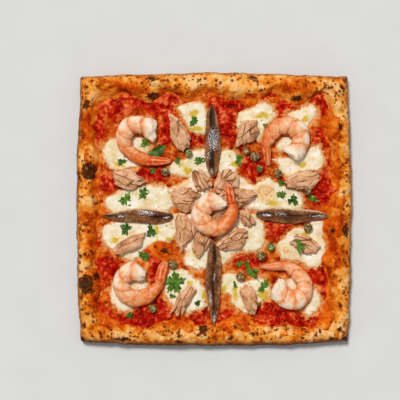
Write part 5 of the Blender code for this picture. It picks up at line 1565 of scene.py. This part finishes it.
def crumbShape():
    # Flat six-cornered chips at random places on the sauce and cheese: each corner a random length
    # from the chip's middle.
    random, count = np.random.default_rng(crumbs["seed"]), crumbs["count"]
    x = random.uniform(crust["wellLeft"], crust["wellRight"], count)
    y = random.uniform(crust["wellFront"], crust["wellRear"], count)
    ground = np.maximum(sauceHeight(x, y)[0], cheeseHeight(x, y, allPuddles)[0])
    size = random.uniform(crumbs["least"], crumbs["most"], count)
    axes = np.array([(1, 0, 0), (0.2, 1, 0), (-1, 0.1, 0), (-0.1, -1, 0), (0, 0, 0.4), (0, 0, -0.4)])
    corners = axes * size[:, None, None] * random.uniform(0.5, 1, (count, 6, 1))
    spin = random.uniform(0, 2 * pi, count)[:, None]
    cornerX, cornerY, cornerZ = np.moveaxis(corners, -1, 0)
    points = np.stack([
        x[:, None] + cornerX * np.cos(spin) - cornerY * np.sin(spin),
        y[:, None] + cornerX * np.sin(spin) + cornerY * np.cos(spin),
        ground[:, None] + crumbs["lift"] + cornerZ,
    ], axis=-1).reshape(-1, 3)
    around = [(0, 1), (1, 2), (2, 3), (3, 0)]
    chip = np.array([(a, b, 4) for a, b in around] + [(b, a, 5) for a, b in around])
    faces = (np.arange(count)[:, None, None] * 6 + chip).reshape(-1, 3)
    return points, [faces], {"tone": np.repeat(random.uniform(0, 1, count), 6)}


def crumbMaterial():
    # Dried oregano and cracked pepper: dull, from dark green to brown.
    material, node, _, tone = startMaterial("driedHerbs", "tone")
    colour = node("ValToRGB", {0: tone}, stops=[(0.2, "#54340E"), (0.5, "#5E5420"), (0.8, "#8A5A20")])
    return closeMaterial(material, node, {
        "Base Color": colour, "Roughness": 0.7, "Specular IOR Level": 0.1})


addPiece("herbCrumbs", crumbShape(), crumbMaterial())
print("crumbs")


# Floor, light and camera

studio = {
    "floor": 1.6, "worldStrength": 0.33, "keyStrength": 2.3, "keySoftness": 14,
    "keyTilt": (-24, -12, 0),  # from the rear left, high up
    "centre": (-14.4 * mm, 9.7 * mm), "cameraHeight": 1.9, "sensor": 36,
    "pixels": 400, "pixel": 1.026 * mm,  # what one of the picture's pixels spans at the crust's widest
}


def floorMaterial():
    # Painted board: pale, nearly matte, faintly uneven.
    material, node, _, noise = startMaterial("palePaintedBoard", noises=((40, 3, 0.5),))
    colour = node("ValToRGB", {0: noise}, stops=[(0.3, "#DADAD8"), (0.7, "#DEDEDC")])
    return closeMaterial(material, node, {"Base Color": colour, "Roughness": 0.7})


half = studio["floor"] / 2
floorMesh = bpy.data.meshes.new("studioFloor")
floorCorners = [(-half, -half, 0), (half, -half, 0), (half, half, 0), (-half, half, 0)]
floorMesh.from_pydata(floorCorners, [], [(0, 1, 2, 3)])
floorMesh.materials.append(floorMaterial())
floor = bpy.data.objects.new("studioFloor", floorMesh)
scene.collection.objects.link(floor)

world = bpy.data.worlds.new("softStudio")
world.use_nodes = True
background = world.node_tree.nodes["Background"]
background.inputs["Color"].default_value = (1, 1, 1, 1)
background.inputs["Strength"].default_value = studio["worldStrength"]
scene.world = world

keyData = bpy.data.lights.new("softKey", "SUN")
keyData.angle = np.radians(studio["keySoftness"])
keyData.energy = studio["keyStrength"]
key = bpy.data.objects.new("softKey", keyData)
key.rotation_euler = np.radians(studio["keyTilt"])
scene.collection.objects.link(key)

cameraData = bpy.data.cameras.new("cameraFromAbove")
cameraData.sensor_width = studio["sensor"]
toCrust = studio["cameraHeight"] - crust["widestHeight"]
cameraData.lens = studio["sensor"] * toCrust / (studio["pixels"] * studio["pixel"])
camera = bpy.data.objects.new("cameraFromAbove", cameraData)
camera.location = (*studio["centre"], studio["cameraHeight"])
scene.collection.objects.link(camera)
scene.camera = camera
print("studio")
